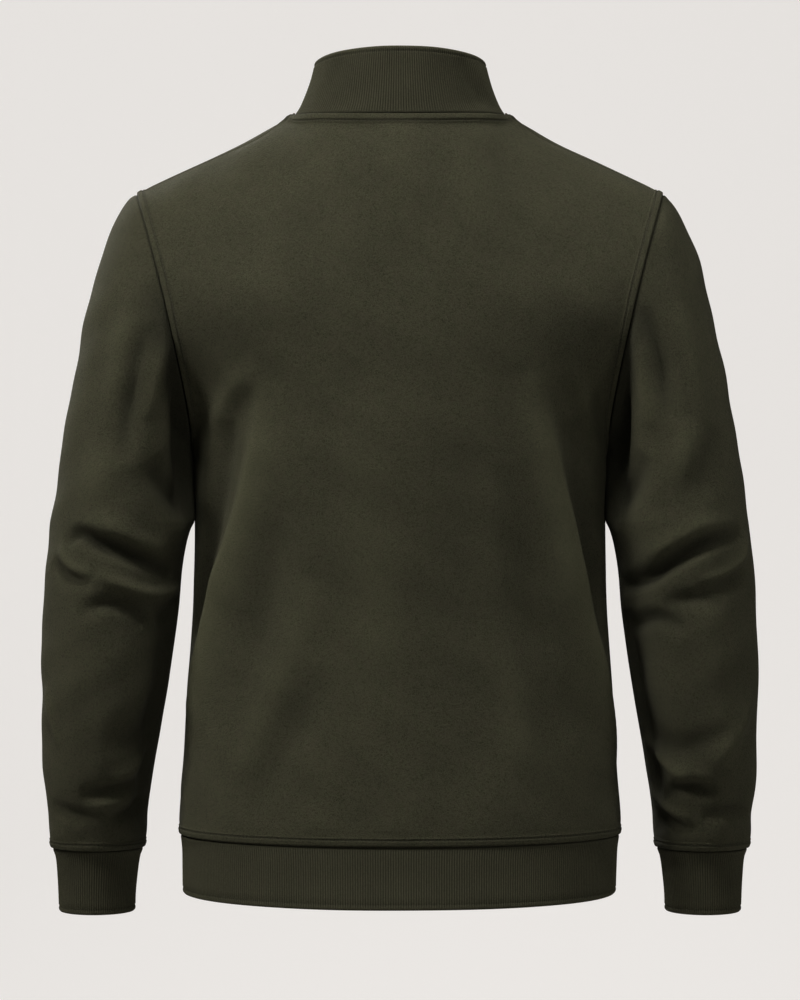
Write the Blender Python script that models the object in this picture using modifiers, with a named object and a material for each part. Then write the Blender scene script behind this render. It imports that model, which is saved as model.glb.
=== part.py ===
"""Quarter zip sweater: brushed fleece body and sleeves, rib collar, cuffs and hem band, short zip.

The garment keeps the hollow form it has when worn. Every cloth piece is a thin wall of its own,
and neighbours are mitred along the seam they share. Blender units are metres and +Z is up. The
wearer faces -Y, so +X is the wearer's left. The origin is the middle of the neck opening, level
with the neck seam at the centre back. Tables and sizes are in millimetres; MM makes them metres.
"""

import math

import bmesh
import bpy
from mathutils import Vector

MM = 0.001

# Cloth and seams
CLOTH = 2.0                 # thickness of the fleece and of the doubled rib
SEAM_GAP = 0.3              # room between two pieces along a seam
MITRE_LIMIT = 0.5           # least cosine used where two walls fold sharply at a seam
CORNER_LIMIT = 0.4          # keeps the step of a sharp corner short

SHARP_ANGLE = 50.0          # edges sharper than this, in degrees, stay sharp

# Heights of the main lines
HEM = -674.0
HEM_SEAM = -623.0
BLOUSE = -610.0             # the body is widest here, where it hangs over the hem band
UNDERARM = -285.0
BICEP = -350.0
CUFF_SEAM = -637.0
CUFF_END = -693.0

# Cross-sections of the body, from the hem up to the underarm
SIDE_SEAM = -8.0
BODY_ROUNDNESS = 2.1        # 2 is an ellipse, more is squarer
BODY_SECTIONS = (
    # height, half width, back, front, side seam
    (HEM, 189.5, 127.0, -134.0, SIDE_SEAM),
    (-650.0, 190.0, 120.0, -130.0, SIDE_SEAM),
    (-635.0, 190.5, 117.0, -127.0, SIDE_SEAM),
    (HEM_SEAM, 192.0, 115.0, -126.0, SIDE_SEAM),
    (BLOUSE, 193.6, 117.0, -127.0, SIDE_SEAM),
    (-567.0, 190.3, 114.0, -126.0, SIDE_SEAM),
    (-497.0, 186.4, 109.0, -126.0, SIDE_SEAM),
    (-427.0, 181.6, 107.0, -128.0, SIDE_SEAM),
    (-357.0, 180.0, 110.0, -131.0, SIDE_SEAM),
    (UNDERARM, 181.0, 114.0, -132.0, SIDE_SEAM),
)

HALF_WIDTH = 181.0          # of the body where its folds are laid out
HALF_DEPTH = 122.0
PANEL_HALF_GIRTH = 240.0    # from a panel's centre round to its side seam

# Neck seam, an egg shape that dips at the front
NECK_HALF_WIDTH = 92.5
NECK_SIDE = Vector((0.0, -2.0, 5.0))
NECK_BACK = Vector((0.0, 64.0, 0.0))
NECK_FRONT = Vector((0.0, -88.0, -60.0))
NECK_DIP = 2.0              # how late the seam drops on its way from the side

# Top edge of the collar
COLLAR_HALF_WIDTH = 74.5
COLLAR_SIDE = Vector((0.0, -8.0, 53.0))
COLLAR_BACK = Vector((0.0, 57.0, 59.0))
COLLAR_FRONT = Vector((0.0, -74.0, 12.0))
COLLAR_DIP = 1.3
COLLAR_PROFILE = (
    # share of the height, share of the way in from the neck seam to the top edge
    (0.0, 0.0),
    (0.1, 0.21),
    (0.2, 0.36),
    (0.4, 0.57),
    (0.6, 0.74),
    (0.8, 0.88),
    (1.0, 1.0),
)

# Shoulder seam, from the neck seam out to the tip of the shoulder
NECK_CORNER_ANGLE = 83.0    # where it meets the neck seam, in degrees from the centre back
NECK_CORNER_SHARE = 0.42    # and its share of the way from the centre of a panel to its side
SHOULDER_SEAM_BACK = 6.0    # the seam lies this far behind the neck's side
SHOULDER_TIP = Vector((230.0, SHOULDER_SEAM_BACK, -65.0))
CORNER_EASE = 6.0           # how soon the shoulder line takes over from the neck seam's height
SHOULDER_LINE = (
    # distance from the centre, height
    (92.0, 4.5),
    (99.8, -2.0),
    (110.0, -8.5),
    (146.6, -26.0),
    (186.0, -43.5),
    (214.0, -56.5),
    (230.0, -65.0),
)

# Each panel above the underarm runs through a line across the shoulder blades or the chest
CHEST_RISE = 150.0          # how strongly a panel's centre first runs straight up
UNDERARM_RISE = 75.0        # the same at the underarm
UNDERARM_LEAN = 150.0       # how strongly the armhole first runs level from the underarm
UNDERARM_REACH = 4.0        # how closely that stays at the sides: higher is closer
BLADE_EASE = 0.8            # rounds the panels over the shoulder blades and the chest
PANELS = {
    "back": {"turn": 1.0, "centre": Vector((0.0, 108.0, -140.0)),
             "armhole": Vector((198.5, 78.5, -170.0)),
             "neck_lean": Vector((0.0, -90.0, 100.0))},
    "front": {"turn": -1.0, "centre": Vector((0.0, -119.0, -165.0)),
              "armhole": Vector((191.0, -72.0, -172.0)),
              "neck_lean": Vector((0.0, 42.0, 88.0))},
}
NECK_CORNER_LEAN = Vector((-4.0, -150.0, 68.0))
SHOULDER_TIP_LEAN = Vector((20.0, -158.0, 44.0))

# Cross-sections of a sleeve and its cuff, for the wearer's left arm
SLEEVE_SECTIONS = (
    # height, centre from the middle, half width, centre forward or back, half depth
    (CUFF_END, 267.3, 33.4, -26.0, 38.0),
    (-679.0, 267.4, 33.7, -26.0, 38.2),
    (-661.0, 267.0, 35.0, -25.7, 39.5),
    (-645.0, 266.6, 36.9, -25.3, 41.5),
    (CUFF_SEAM, 266.5, 39.8, -24.5, 44.5),
    (-626.0, 266.6, 42.8, -22.5, 48.5),
    (-604.0, 266.0, 43.8, -18.0, 52.0),
    (-567.0, 264.9, 48.5, -10.0, 57.0),
    (-532.0, 261.4, 51.4, -3.0, 60.0),
    (-497.0, 258.0, 54.4, 2.0, 62.0),
    (-462.0, 255.2, 57.1, 5.0, 64.0),
    (-427.0, 252.2, 58.8, 6.0, 67.0),
    (-392.0, 249.5, 59.2, 7.0, 70.0),
    (-368.0, 246.0, 59.8, 8.0, 72.0),
    (BICEP, 242.5, 61.7, 8.0, 74.0),
)
CAP_LEAN_UNDERARM = Vector((8.0, 0.0, -30.0))
CAP_LEAN_TIP = Vector((116.0, 0.0, -66.0))
CAP_LEAN_SIDE = 15.0
CAP_DROP_UNDERARM = Vector((0.0, 0.0, -60.0))
CAP_DROP_TIP = Vector((29.0, 0.0, -210.0))

# The largest folds, which settle before the seams. Heights below zero are troughs. Round the body
# the place is the share of the way from a panel's centre to its side; round a sleeve it is the
# angle from its outer edge, with the back at 90 degrees and the inner side at 180.
BODY_FOLD_SETTLE = 30.0
SIDE_FOLD_SHARE = 0.25
BODY_FOLDS = (
    # panel, share, height to share, height, half width, rise
    ("back", 0.46, -285.0, 0.70, -449.0, 24.0, 4.0),
    ("back", 0.70, -449.0, 0.87, -545.0, 24.0, 5.0),
    ("back", -0.50, -294.0, -0.68, -437.0, 24.0, 4.0),
    ("back", -0.68, -437.0, -0.86, -560.0, 24.0, 5.0),
    ("front", 0.50, -290.0, 0.74, -440.0, 24.0, 4.0),
    ("front", 0.74, -440.0, 0.87, -550.0, 24.0, 4.0),
    ("front", -0.48, -280.0, -0.70, -430.0, 24.0, 4.0),
    ("front", -0.70, -430.0, -0.86, -560.0, 24.0, 4.0),
)
SLEEVE_FOLDS = {
    "left": (
        # angle, height to angle, height, half width, rise
        (50.0, -374.0, 98.0, -370.0, 14.0, -4.0),
        (98.0, -370.0, 150.0, -398.0, 14.0, -4.5),
        (60.0, -400.0, 120.0, -412.0, 16.0, 3.5),
        (-60.0, -392.0, -110.0, -400.0, 14.0, -4.0),
        (95.0, -600.0, 130.0, -594.0, 14.0, -2.5),
    ),
    "right": (
        (50.0, -373.0, 95.0, -372.0, 14.0, -4.0),
        (95.0, -372.0, 150.0, -415.0, 14.0, -4.5),
        (60.0, -402.0, 115.0, -420.0, 16.0, 3.5),
        (-60.0, -388.0, -115.0, -402.0, 14.0, -4.0),
        (70.0, -592.0, 120.0, -596.0, 14.0, -2.5),
    ),
}
SLEEVE_FOLD_SETTLE = 15.0
SLEEVE_FOLD_RADIUS = 60.0

# Zip, down the centre front from the top of the collar
SLIT_HALF_WIDTH = 6.0
SLIT_END = -215.0
CHAIN_HALF_WIDTH = 2.4
CHAIN_DEPTH = (-3.4, -1.0)  # from its back to its face, measured out from the cloth's face
TAPE_EDGE = 13.0
TAPE_DEPTH = (-3.1, -2.3)
TAPE_TURN_BACK = 1.2        # its outer edge lies deeper, round the collar
TAPE_BELOW_SLIT = 8.0
ZIP_TOP_ROOM = 2.0          # the zip ends this far below the collar's top edge
SLIDER_LENGTH = 10.0
SLIDER_HALF_WIDTH = 4.3
SLIDER_WEB_HALF_WIDTH = 2.2
SLIDER_LEVELS = (-5.1, -3.6, -1.8, -0.3)   # back plate, web, front plate
SLIDER_ROUNDING = 0.4
BLOCK_OVERLAP = 0.5         # blocks that are joined reach this far into each other
BRIDGE_HALF_WIDTH = 1.1
BRIDGE_LENGTH = 6.4
BRIDGE_HEIGHT = 3.4
BRIDGE_WALL = 0.9
PIVOT_RADIUS = 0.6
PIVOT_DROP = 1.2            # the pin hangs this far below the slider's middle
PULL_ARM = 1.2
PULL_HALF_WIDTH = 2.9
PULL_EYE_LENGTH = 6.5
PULL_LENGTH = 27.0
PULL_THICKNESS = 1.4
PULL_ROUNDING = 0.5
PIN_ROUNDING = 0.25
ZIP_FOOT = 1.0              # the bottom stop starts this far above the slit's lower end
SHORTEST_LENGTH = 2.0       # shortest stretch between two sections of a zip strip
STOP_LENGTH = 4.0
STOP_HALF_WIDTH = 3.2
STOP_DEPTH = (-2.0, -0.4)

# How finely each piece is divided
SMALL_SHARE = 0.01          # a short step along a section, to find its direction
NECK_STEPS = 6
SHOULDER_STEPS = 5
BODY_STEPS = 9
CHEST_STEPS = 5
YOKE_STEPS = 4
HEM_STEPS = 3
COLLAR_STEPS = 5
CAP_STEPS = 6
SLEEVE_STEPS = 12
CUFF_STEPS = 3

FINISHES = {
    # name: colour, roughness, metallic
    "fleece": ((0.045, 0.043, 0.026), 0.95, 0.0),
    "rib": ((0.036, 0.034, 0.021), 0.92, 0.0),
    "tape": ((0.030, 0.029, 0.018), 0.80, 0.0),
    "zip metal": ((0.10, 0.10, 0.095), 0.38, 1.0),
}


def clear_scene():
    for thing in list(bpy.data.objects):
        bpy.data.objects.remove(thing, do_unlink=True)


def read_table(table, key):
    """Values at key, on a smooth curve through each column of the table."""
    last = len(table) - 1
    low = max(i for i in range(last) if table[i][0] <= key or i == 0)
    high = low + 1
    span = table[high][0] - table[low][0]
    t = (key - table[low][0]) / span

    def slopes(i):
        before, after = table[max(i - 1, 0)], table[min(i + 1, last)]
        return [(b - a) / (after[0] - before[0]) for a, b in zip(before[1:], after[1:])]

    return [
        curve(a, b, ga * span, gb * span, t)
        for a, b, ga, gb in zip(table[low][1:], table[high][1:], slopes(low), slopes(high))
    ]


def curve(start, end, leave, arrive, t):
    """Point at t on the curve from start to end that leaves and arrives in the given directions."""
    return (
        start * (2 * t**3 - 3 * t**2 + 1)
        + leave * (t**3 - 2 * t**2 + t)
        + end * (3 * t**2 - 2 * t**3)
        + arrive * (t**3 - t**2)
    )


def steps(start, end, count):
    return [start + (end - start) * i / count for i in range(count + 1)]


def fold_rise(place, folds):
    """Height of the folds at a place on the unrolled cloth."""
    rise = 0.0
    for start, end, half_width, height in folds:
        along = end - start
        share = min(max((place - start).dot(along) / along.length_squared, 0.0), 1.0)
        distance = (place - start - along * share).length
        rise += height * math.exp(-((distance / half_width) ** 2))
    return rise


# ---------------------------------------------------------------- body

def body_section(panel, share, height):
    """Point on the body below the underarm; share is 0 at a panel's centre, 1 or -1 at its sides."""
    half_width, back, front, side = read_table(BODY_SECTIONS, height)
    depth = (back if panel == "back" else front) - side
    angle = abs(share) * math.pi / 2
    power = 2 / BODY_ROUNDNESS
    across = half_width * math.sin(angle) ** power
    return Vector((math.copysign(across, share), side + depth * max(math.cos(angle), 0.0) ** power,
                   height))


def folded_body(panel, share, height):
    """The same point, moved out or in by the folds of its panel."""
    point = body_section(panel, share, height)
    folds = [
        (place_on_body(panel, a, low), place_on_body(panel, b, high), width, rise)
        for name, a, low, b, high, width, rise in BODY_FOLDS if name == panel
    ]
    rise = fold_rise(place_on_body(panel, share, height), folds)
    from_seam = min(height - HEM_SEAM, UNDERARM - height)
    settle = min(max(from_seam / BODY_FOLD_SETTLE, 0.0), 1.0, (1 - abs(share)) / SIDE_FOLD_SHARE)
    out = Vector((point.x / HALF_WIDTH, (point.y - SIDE_SEAM) / HALF_DEPTH, 0.0)).normalized()
    return point + out * rise * settle


def place_on_body(panel, share, height):
    """Where a point lies when its panel is opened flat."""
    return Vector((share * PANEL_HALF_GIRTH, height, 0.0))


def neck_point(angle):
    """Point on the neck seam; 0 degrees is the centre back, 180 the centre front."""
    return egg_point(angle, NECK_HALF_WIDTH, NECK_SIDE, NECK_BACK, NECK_FRONT, NECK_DIP)


def egg_point(angle, half_width, side, back, front, dip):
    turn = math.radians(abs(angle))
    end = back if math.cos(turn) > 0 else front
    lean = abs(math.cos(turn))
    return Vector((
        math.copysign(half_width * math.sin(turn), angle),
        side.y + (end.y - side.y) * lean,
        side.z + (end.z - side.z) * lean**dip,
    ))


def neck_angle(panel, share):
    """Angle round the neck of a column of a panel; the sign is the side it is on."""
    part = abs(share) / NECK_CORNER_SHARE
    angle = NECK_CORNER_ANGLE * part
    if panel == "front":
        angle = 180.0 - (180.0 - NECK_CORNER_ANGLE) * part
    return math.copysign(angle, share)


def top_edge(panel, share):
    """Point on the neck seam or the shoulder seam at the head of a column."""
    if abs(share) <= NECK_CORNER_SHARE:
        return neck_point(neck_angle(panel, share))
    corner = neck_point(NECK_CORNER_ANGLE)
    part = (abs(share) - NECK_CORNER_SHARE) / (1 - NECK_CORNER_SHARE)
    across = corner.x + (SHOULDER_TIP.x - corner.x) * part
    drop = read_table(SHOULDER_LINE, across)[0] - corner.z
    height = corner.z + drop * min(part * CORNER_EASE, 1.0)
    return Vector((math.copysign(across, share), SHOULDER_SEAM_BACK, height))


def top_lean(panel, share):
    """Direction in which a column reaches its top edge."""
    turn, neck_lean = PANELS[panel]["turn"], PANELS[panel]["neck_lean"]
    size = abs(share)
    if size <= NECK_CORNER_SHARE:
        lean = neck_lean.lerp(NECK_CORNER_LEAN * turn, (size / NECK_CORNER_SHARE) ** 2)
    else:
        part = (size - NECK_CORNER_SHARE) / (1 - NECK_CORNER_SHARE)
        lean = NECK_CORNER_LEAN.lerp(SHOULDER_TIP_LEAN, part) * turn
    return Vector((math.copysign(1.0, share) * lean.x, lean.y, lean.z))


def upper_body(panel, share, part):
    """Point above the underarm; part runs from 0 at the underarm line, through 1, to 2 at the top."""
    facts = PANELS[panel]
    size = abs(share)
    low, top = folded_body(panel, size, UNDERARM), top_edge(panel, size)
    centre, armhole = facts["centre"], facts["armhole"]
    across = (low.x + top.x) / 2
    widest = (BODY_SECTIONS[-1][1] + SHOULDER_TIP.x) / 2
    across *= 1 + (armhole.x / widest - 1) * across / widest
    share_out = across / armhole.x
    middle = Vector((
        across,
        centre.y + (armhole.y - centre.y) * share_out**3,
        centre.z + (armhole.z - centre.z) * share_out**2,
    ))
    through = Vector((top.x - low.x, BLADE_EASE * (top.y - low.y), top.z - low.z)) / 2
    level = (folded_body(panel, size - SMALL_SHARE, UNDERARM) - low).normalized()
    near_side = size**UNDERARM_REACH
    leave = Vector((0.0, 0.0, CHEST_RISE + (UNDERARM_RISE - CHEST_RISE) * near_side))
    leave += level * UNDERARM_LEAN * near_side
    if part <= 1:
        point = curve(low, middle, leave, through, part)
    else:
        point = curve(middle, top, through, top_lean(panel, size), part - 1)
    return Vector((math.copysign(point.x, share), point.y, point.z))


def slit_share():
    """Share of the way to the side at which the slit's edges run."""
    half_width = BODY_SECTIONS[-1][1]
    return math.asin((SLIT_HALF_WIDTH / half_width) ** (BODY_ROUNDNESS / 2)) / (math.pi / 2)


def half_shares(panel):
    """Columns of half a panel, from its centre, or from the slit's edge, to its side."""
    neck = steps(0.0, NECK_CORNER_SHARE, NECK_STEPS)
    if panel == "front":
        neck[0] = slit_share()
    return neck + steps(NECK_CORNER_SHARE, 1.0, SHOULDER_STEPS)[1:]


def panel_shares(panel):
    """All columns of a panel, anticlockwise as seen from above."""
    half = half_shares(panel)
    whole = [-s for s in reversed(half)] + half[0 if panel == "front" else 1:]
    return whole if panel == "front" else [-s for s in whole]


def upper_parts():
    return steps(0.0, 1.0, CHEST_STEPS) + steps(1.0, 2.0, YOKE_STEPS)[1:]


def panel_rows(panel):
    shares = panel_shares(panel)
    lower = [[folded_body(panel, s, z) for s in shares]
             for z in [HEM_SEAM, *steps(BLOUSE, UNDERARM, BODY_STEPS)[:-1]]]
    return lower + [[upper_body(panel, s, part) for s in shares] for part in upper_parts()]


# ---------------------------------------------------------------- sleeves, bands and collar

def sleeve_angles():
    """Angles round a sleeve, anticlockwise from the underarm, matching the armhole's points."""
    count = 2 * (len(upper_parts()) - 1)
    return [180.0 + 360.0 * i / count for i in range(count)]


def armhole():
    """Points of the left armhole, from the underarm up the front, over the tip, down the back."""
    front = [upper_body("front", 1.0, part) for part in upper_parts()]
    back = [upper_body("back", 1.0, part) for part in upper_parts()]
    return front + back[-2:0:-1]


def sleeve_point(side, angle, height):
    centre, half_width, forward, half_depth = read_table(SLEEVE_SECTIONS, height)
    turn = math.radians(angle)
    out = Vector((half_width * math.cos(turn), half_depth * math.sin(turn), 0.0))
    size = 1 + sleeve_fold(side, angle, height) / out.length
    return Vector((centre, forward, height)) + out * size


def sleeve_fold(side, angle, height):
    degrees = (angle + 180.0) % 360.0 - 180.0
    folds = [
        (place_on_sleeve(a, low), place_on_sleeve(b, high), width, rise)
        for a, low, b, high, width, rise in SLEEVE_FOLDS[side]
    ]
    from_seam = min(height - CUFF_SEAM, BICEP - height)
    settle = min(max(from_seam / SLEEVE_FOLD_SETTLE, 0.0), 1.0)
    return fold_rise(place_on_sleeve(degrees, height), folds) * settle


def place_on_sleeve(angle, height):
    return Vector((math.radians(angle) * SLEEVE_FOLD_RADIUS, height, 0.0))


def cap_rows(side):
    """Rows of the sleeve's cap, from the bicep up to the armhole."""
    rows = []
    for t in steps(1.0, 0.0, CAP_STEPS):
        row = []
        for angle, start in zip(sleeve_angles(), armhole()):
            turn = math.radians(angle)
            outer = (1 + math.cos(turn)) / 2
            leave = CAP_LEAN_UNDERARM.lerp(CAP_LEAN_TIP, outer)
            leave.y += CAP_LEAN_SIDE * math.sin(turn)
            drop = CAP_DROP_UNDERARM.lerp(CAP_DROP_TIP, outer)
            row.append(curve(start, sleeve_point(side, angle, BICEP), leave, drop, t))
        rows.append(row)
    return rows


def tube_rows(side, low, high, count):
    return [[sleeve_point(side, a, z) for a in sleeve_angles()] for z in steps(low, high, count)]


def on_side(rows, side):
    """Rows made for the left arm, or their mirror image for the right."""
    if side == "left":
        return rows
    return [[Vector((-p.x, p.y, p.z)) for p in [row[0], *reversed(row[1:])]] for row in rows]


def hem_rows():
    columns = [("back", s) for s in panel_shares("back")[:-1]]
    columns += [("front", s) for s in panel_shares("front")[:-1]]
    return [[body_section(panel, s, z) for panel, s in columns]
            for z in steps(HEM, HEM_SEAM, HEM_STEPS)]


def collar_rows():
    """Rows of the collar, anticlockwise from the left edge of the slit."""
    front, back = half_shares("front")[:NECK_STEPS + 1], half_shares("back")[:NECK_STEPS]
    angles = [neck_angle("front", s) for s in front]
    angles += [neck_angle("back", s) for s in reversed(back)]
    angles += [-a for a in reversed(angles[:-1])]
    rows = []
    for t in steps(0.0, 1.0, COLLAR_STEPS):
        inward = read_table(COLLAR_PROFILE, t)[0]
        row = []
        for angle in angles:
            low = neck_point(angle)
            top = egg_point(angle, COLLAR_HALF_WIDTH, COLLAR_SIDE, COLLAR_BACK, COLLAR_FRONT,
                            COLLAR_DIP)
            row.append(Vector((low.x + (top.x - low.x) * inward, low.y + (top.y - low.y) * inward,
                               low.z + (top.z - low.z) * t)))
        rows.append(row)
    return rows


# ---------------------------------------------------------------- cloth walls

class Sheet:
    """The outer face of one cloth piece, as a grid whose rows run up and columns anticlockwise."""

    def __init__(self, name, form, finish, rows, closed, skip=lambda row, column: False):
        self.name, self.form, self.finish = name, form, finish
        self.width = len(rows[0])
        self.points = [point for row in rows for point in row]
        across = self.width if closed else self.width - 1
        self.faces = [
            (r * self.width + c, r * self.width + (c + 1) % self.width,
             (r + 1) * self.width + (c + 1) % self.width, (r + 1) * self.width + c)
            for r in range(len(rows) - 1) for c in range(across) if not skip(r, c)
        ]

    def outline(self):
        """Edges on the piece's outline with their faces, each in the direction its face goes round."""
        every = {(f[i], f[(i + 1) % 4]): f for f in self.faces for i in range(4)}
        return [(a, b, face) for (a, b), face in every.items() if (b, a) not in every]


def key(point):
    return tuple(round(value, 3) for value in point)


def seam_normals(sheets):
    """Direction out of the cloth at every point, shared by all the pieces that meet there."""
    forms = {}
    for sheet in sheets:
        form = forms.setdefault(sheet.form, {})
        for face in sheet.faces:
            a, b, c, d = (sheet.points[i] for i in face)
            normal = (c - a).cross(d - b)
            for point in (a, b, c, d):
                form[key(point)] = form.get(key(point), Vector()) + normal
    totals, mitres = {}, {}
    for form in forms.values():
        for place, normal in form.items():
            totals[place] = totals.get(place, Vector()) + normal.normalized()
    for form in forms.values():
        for place, normal in form.items():
            cosine = max(MITRE_LIMIT, totals[place].normalized().dot(normal.normalized()))
            mitres[place] = max(mitres.get(place, 1.0), 1 / cosine)
    return {place: total.normalized() * mitres[place] for place, total in totals.items()}


def edge_shifts(sheet, normals):
    """Steps that draw a piece's outline in by half the seam gap, square to the mitre of its seam."""
    pushes = {}
    for a, b, face in sheet.outline():
        corners = [sheet.points[i] for i in face]
        out = (corners[2] - corners[0]).cross(corners[3] - corners[1]).normalized()
        start, end = sheet.points[a], sheet.points[b]
        for i in (a, b):
            mitre = normals[key(sheet.points[i])].normalized()
            seam_middle = (start + end - mitre * CLOTH) / 2
            to_wall = sum(corners, Vector()) / 4 - out * CLOTH / 2 - seam_middle
            push = (end - start).cross(mitre).normalized()
            pushes.setdefault(i, []).append(push if push.dot(to_wall) > 0 else -push)
    return {
        i: (one + two) * (SEAM_GAP / 2) / max(1 + one.dot(two), CORNER_LIMIT)
        for i, (one, two) in pushes.items()
    }


def cloth_wall(sheet, normals, collection):
    """Closed solid of a cloth piece: its face, the same face one cloth thickness in, and its edges."""
    shifts = edge_shifts(sheet, normals)
    mesh = bmesh.new()
    outer, inner = [], []
    for i, point in enumerate(sheet.points):
        place = point + shifts.get(i, Vector())
        outer.append(mesh.verts.new(place * MM))
        inner.append(mesh.verts.new((place - normals[key(point)] * CLOTH) * MM))
    for face in sheet.faces:
        mesh.faces.new([outer[i] for i in face])
        mesh.faces.new([inner[i] for i in reversed(face)])
    for a, b, _ in sheet.outline():
        # Both pieces at a seam split its twisted edge along the same diagonal
        if key(sheet.points[a]) < key(sheet.points[b]):
            halves = ((outer[b], outer[a], inner[b]), (outer[a], inner[a], inner[b]))
        else:
            halves = ((outer[b], outer[a], inner[a]), (outer[b], inner[a], inner[b]))
        for half in halves:
            mesh.faces.new(half)
    add_object(sheet.name, mesh, sheet.finish, collection, smooth=True)


def add_object(name, mesh, finish, collection, smooth=False):
    data = bpy.data.meshes.new(name)
    mesh.to_mesh(data)
    mesh.free()
    if smooth:
        data.shade_smooth()
        data.set_sharp_from_angle(angle=math.radians(SHARP_ANGLE))
    thing = bpy.data.objects.new(name, data)
    thing.data.materials.append(make_finish(f"{name} {finish}", finish))
    collection.objects.link(thing)
    return thing


def make_finish(name, finish):
    colour, roughness, metallic = FINISHES[finish]
    material = bpy.data.materials.new(name)
    material.use_nodes = True
    shader = material.node_tree.nodes["Principled BSDF"]
    shader.inputs["Base Color"].default_value = (*colour, 1.0)
    shader.inputs["Roughness"].default_value = roughness
    shader.inputs["Metallic"].default_value = metallic
    return material


# ---------------------------------------------------------------- zip

def zip_line(panel_front, collar):
    """Centre line of the slit, from its lower end to the collar's top, as points and outward turns."""
    left_edge = panel_front.width // 2
    column = [row for row in panel_front.points[left_edge::panel_front.width] if row.z >= SLIT_END]
    column += collar.points[collar.width::collar.width]
    line = [Vector((0.0, p.y, p.z)) for p in column]
    turns = []
    for i in range(len(line)):
        along = (line[min(i + 1, len(line) - 1)] - line[max(i - 1, 0)]).normalized()
        turns.append(Vector((0.0, -along.z, along.y)))
    return line, turns


def place_on_zip(line, turns, height):
    """Point and outward direction on the zip's line at a height."""
    i = max(k for k in range(len(line) - 1) if line[k].z <= height or k == 0)
    t = (height - line[i].z) / (line[i + 1].z - line[i].z)
    return line[i].lerp(line[i + 1], t), turns[i].lerp(turns[i + 1], t).normalized()


def zip_strip(name, sides, depth, heights, zip_place, finish, collection, turn_back=0.0):
    """Strip that follows the zip's line between two sideways places and two depths."""
    mesh = bmesh.new()
    rings = []
    for height in heights:
        middle, out = zip_place(height)
        inner_edge, outer_edge = sides
        corners = ((inner_edge, depth[0]), (outer_edge, depth[0] - turn_back),
                   (outer_edge, depth[1] - turn_back), (inner_edge, depth[1]))
        rings.append([mesh.verts.new((middle + Vector((x, 0.0, 0.0)) + out * d) * MM)
                      for x, d in corners])
    for low, high in zip(rings, rings[1:]):
        for i in range(4):
            mesh.faces.new((low[i], low[(i + 1) % 4], high[(i + 1) % 4], high[i]))
    mesh.faces.new(rings[0])
    mesh.faces.new(reversed(rings[-1]))
    bmesh.ops.recalc_face_normals(mesh, faces=mesh.faces)
    return add_object(name, mesh, finish, collection)


def add_block(name, centre, size, finish, collection, parent, bevel=0.0):
    """Block with rounded edges on the slider's frame: across, along the zip, out of the cloth."""
    mesh = bmesh.new()
    bmesh.ops.create_cube(mesh, size=1.0)
    bmesh.ops.scale(mesh, vec=Vector(size) * MM, verts=mesh.verts)
    bmesh.ops.translate(mesh, vec=Vector(centre) * MM, verts=mesh.verts)
    thing = add_object(name, mesh, finish, collection)
    thing.parent = parent
    if bevel:
        rounding = thing.modifiers.new("Rounded edges", "BEVEL")
        rounding.width = bevel * MM
        rounding.segments = 2
    return thing


def join_to(thing, others, cutters):
    """Unite the other blocks with thing and keep them only as guides."""
    for other in others:
        union = thing.modifiers.new(f"With {other.name}", "BOOLEAN")
        union.operation = "UNION"
        union.object = other
        hide_guide(other, cutters)


def cut_from(thing, cutter, cutters):
    cut = thing.modifiers.new(f"Without {cutter.name}", "BOOLEAN")
    cut.operation = "DIFFERENCE"
    cut.object = cutter
    hide_guide(cutter, cutters)


def hide_guide(thing, cutters):
    for collection in list(thing.users_collection):
        collection.objects.unlink(thing)
    cutters.objects.link(thing)
    thing.hide_render = True
    thing.display_type = "WIRE"


def make_slider(frame, garment, cutters):
    """Slider: two plates and a web that leave a groove for each tape, and an arched bridge."""
    back, web_low, web_high, front = SLIDER_LEVELS
    metal = "zip metal"
    slider = add_block("zip_slider", (0, 0, (web_high + front) / 2),
                       (2 * SLIDER_HALF_WIDTH, SLIDER_LENGTH, front - web_high),
                       metal, garment, frame, SLIDER_ROUNDING)
    back_plate = add_block("slider back plate", (0, 0, (back + web_low) / 2),
                           (2 * SLIDER_HALF_WIDTH, SLIDER_LENGTH, web_low - back),
                           metal, garment, frame, SLIDER_ROUNDING)
    web = add_block("slider web", (0, 0, (back + front) / 2),
                    (2 * SLIDER_WEB_HALF_WIDTH, SLIDER_LENGTH - 4 * BLOCK_OVERLAP,
                     front - back - 2 * BLOCK_OVERLAP),
                    metal, garment, frame)
    bridge = add_block("slider bridge", (0, 0, front + (BRIDGE_HEIGHT - BLOCK_OVERLAP) / 2),
                       (2 * BRIDGE_HALF_WIDTH, BRIDGE_LENGTH, BRIDGE_HEIGHT + BLOCK_OVERLAP),
                       metal, garment, frame, SLIDER_ROUNDING)
    opening = add_block("bridge opening",
                        (0, 0, front + (BRIDGE_HEIGHT - BRIDGE_WALL) / 2),
                        (4 * BRIDGE_HALF_WIDTH, BRIDGE_LENGTH - 2 * BRIDGE_WALL,
                         BRIDGE_HEIGHT - BRIDGE_WALL),
                        metal, garment, frame)
    join_to(slider, (back_plate, web, bridge), cutters)
    cut_from(slider, opening, cutters)


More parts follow.
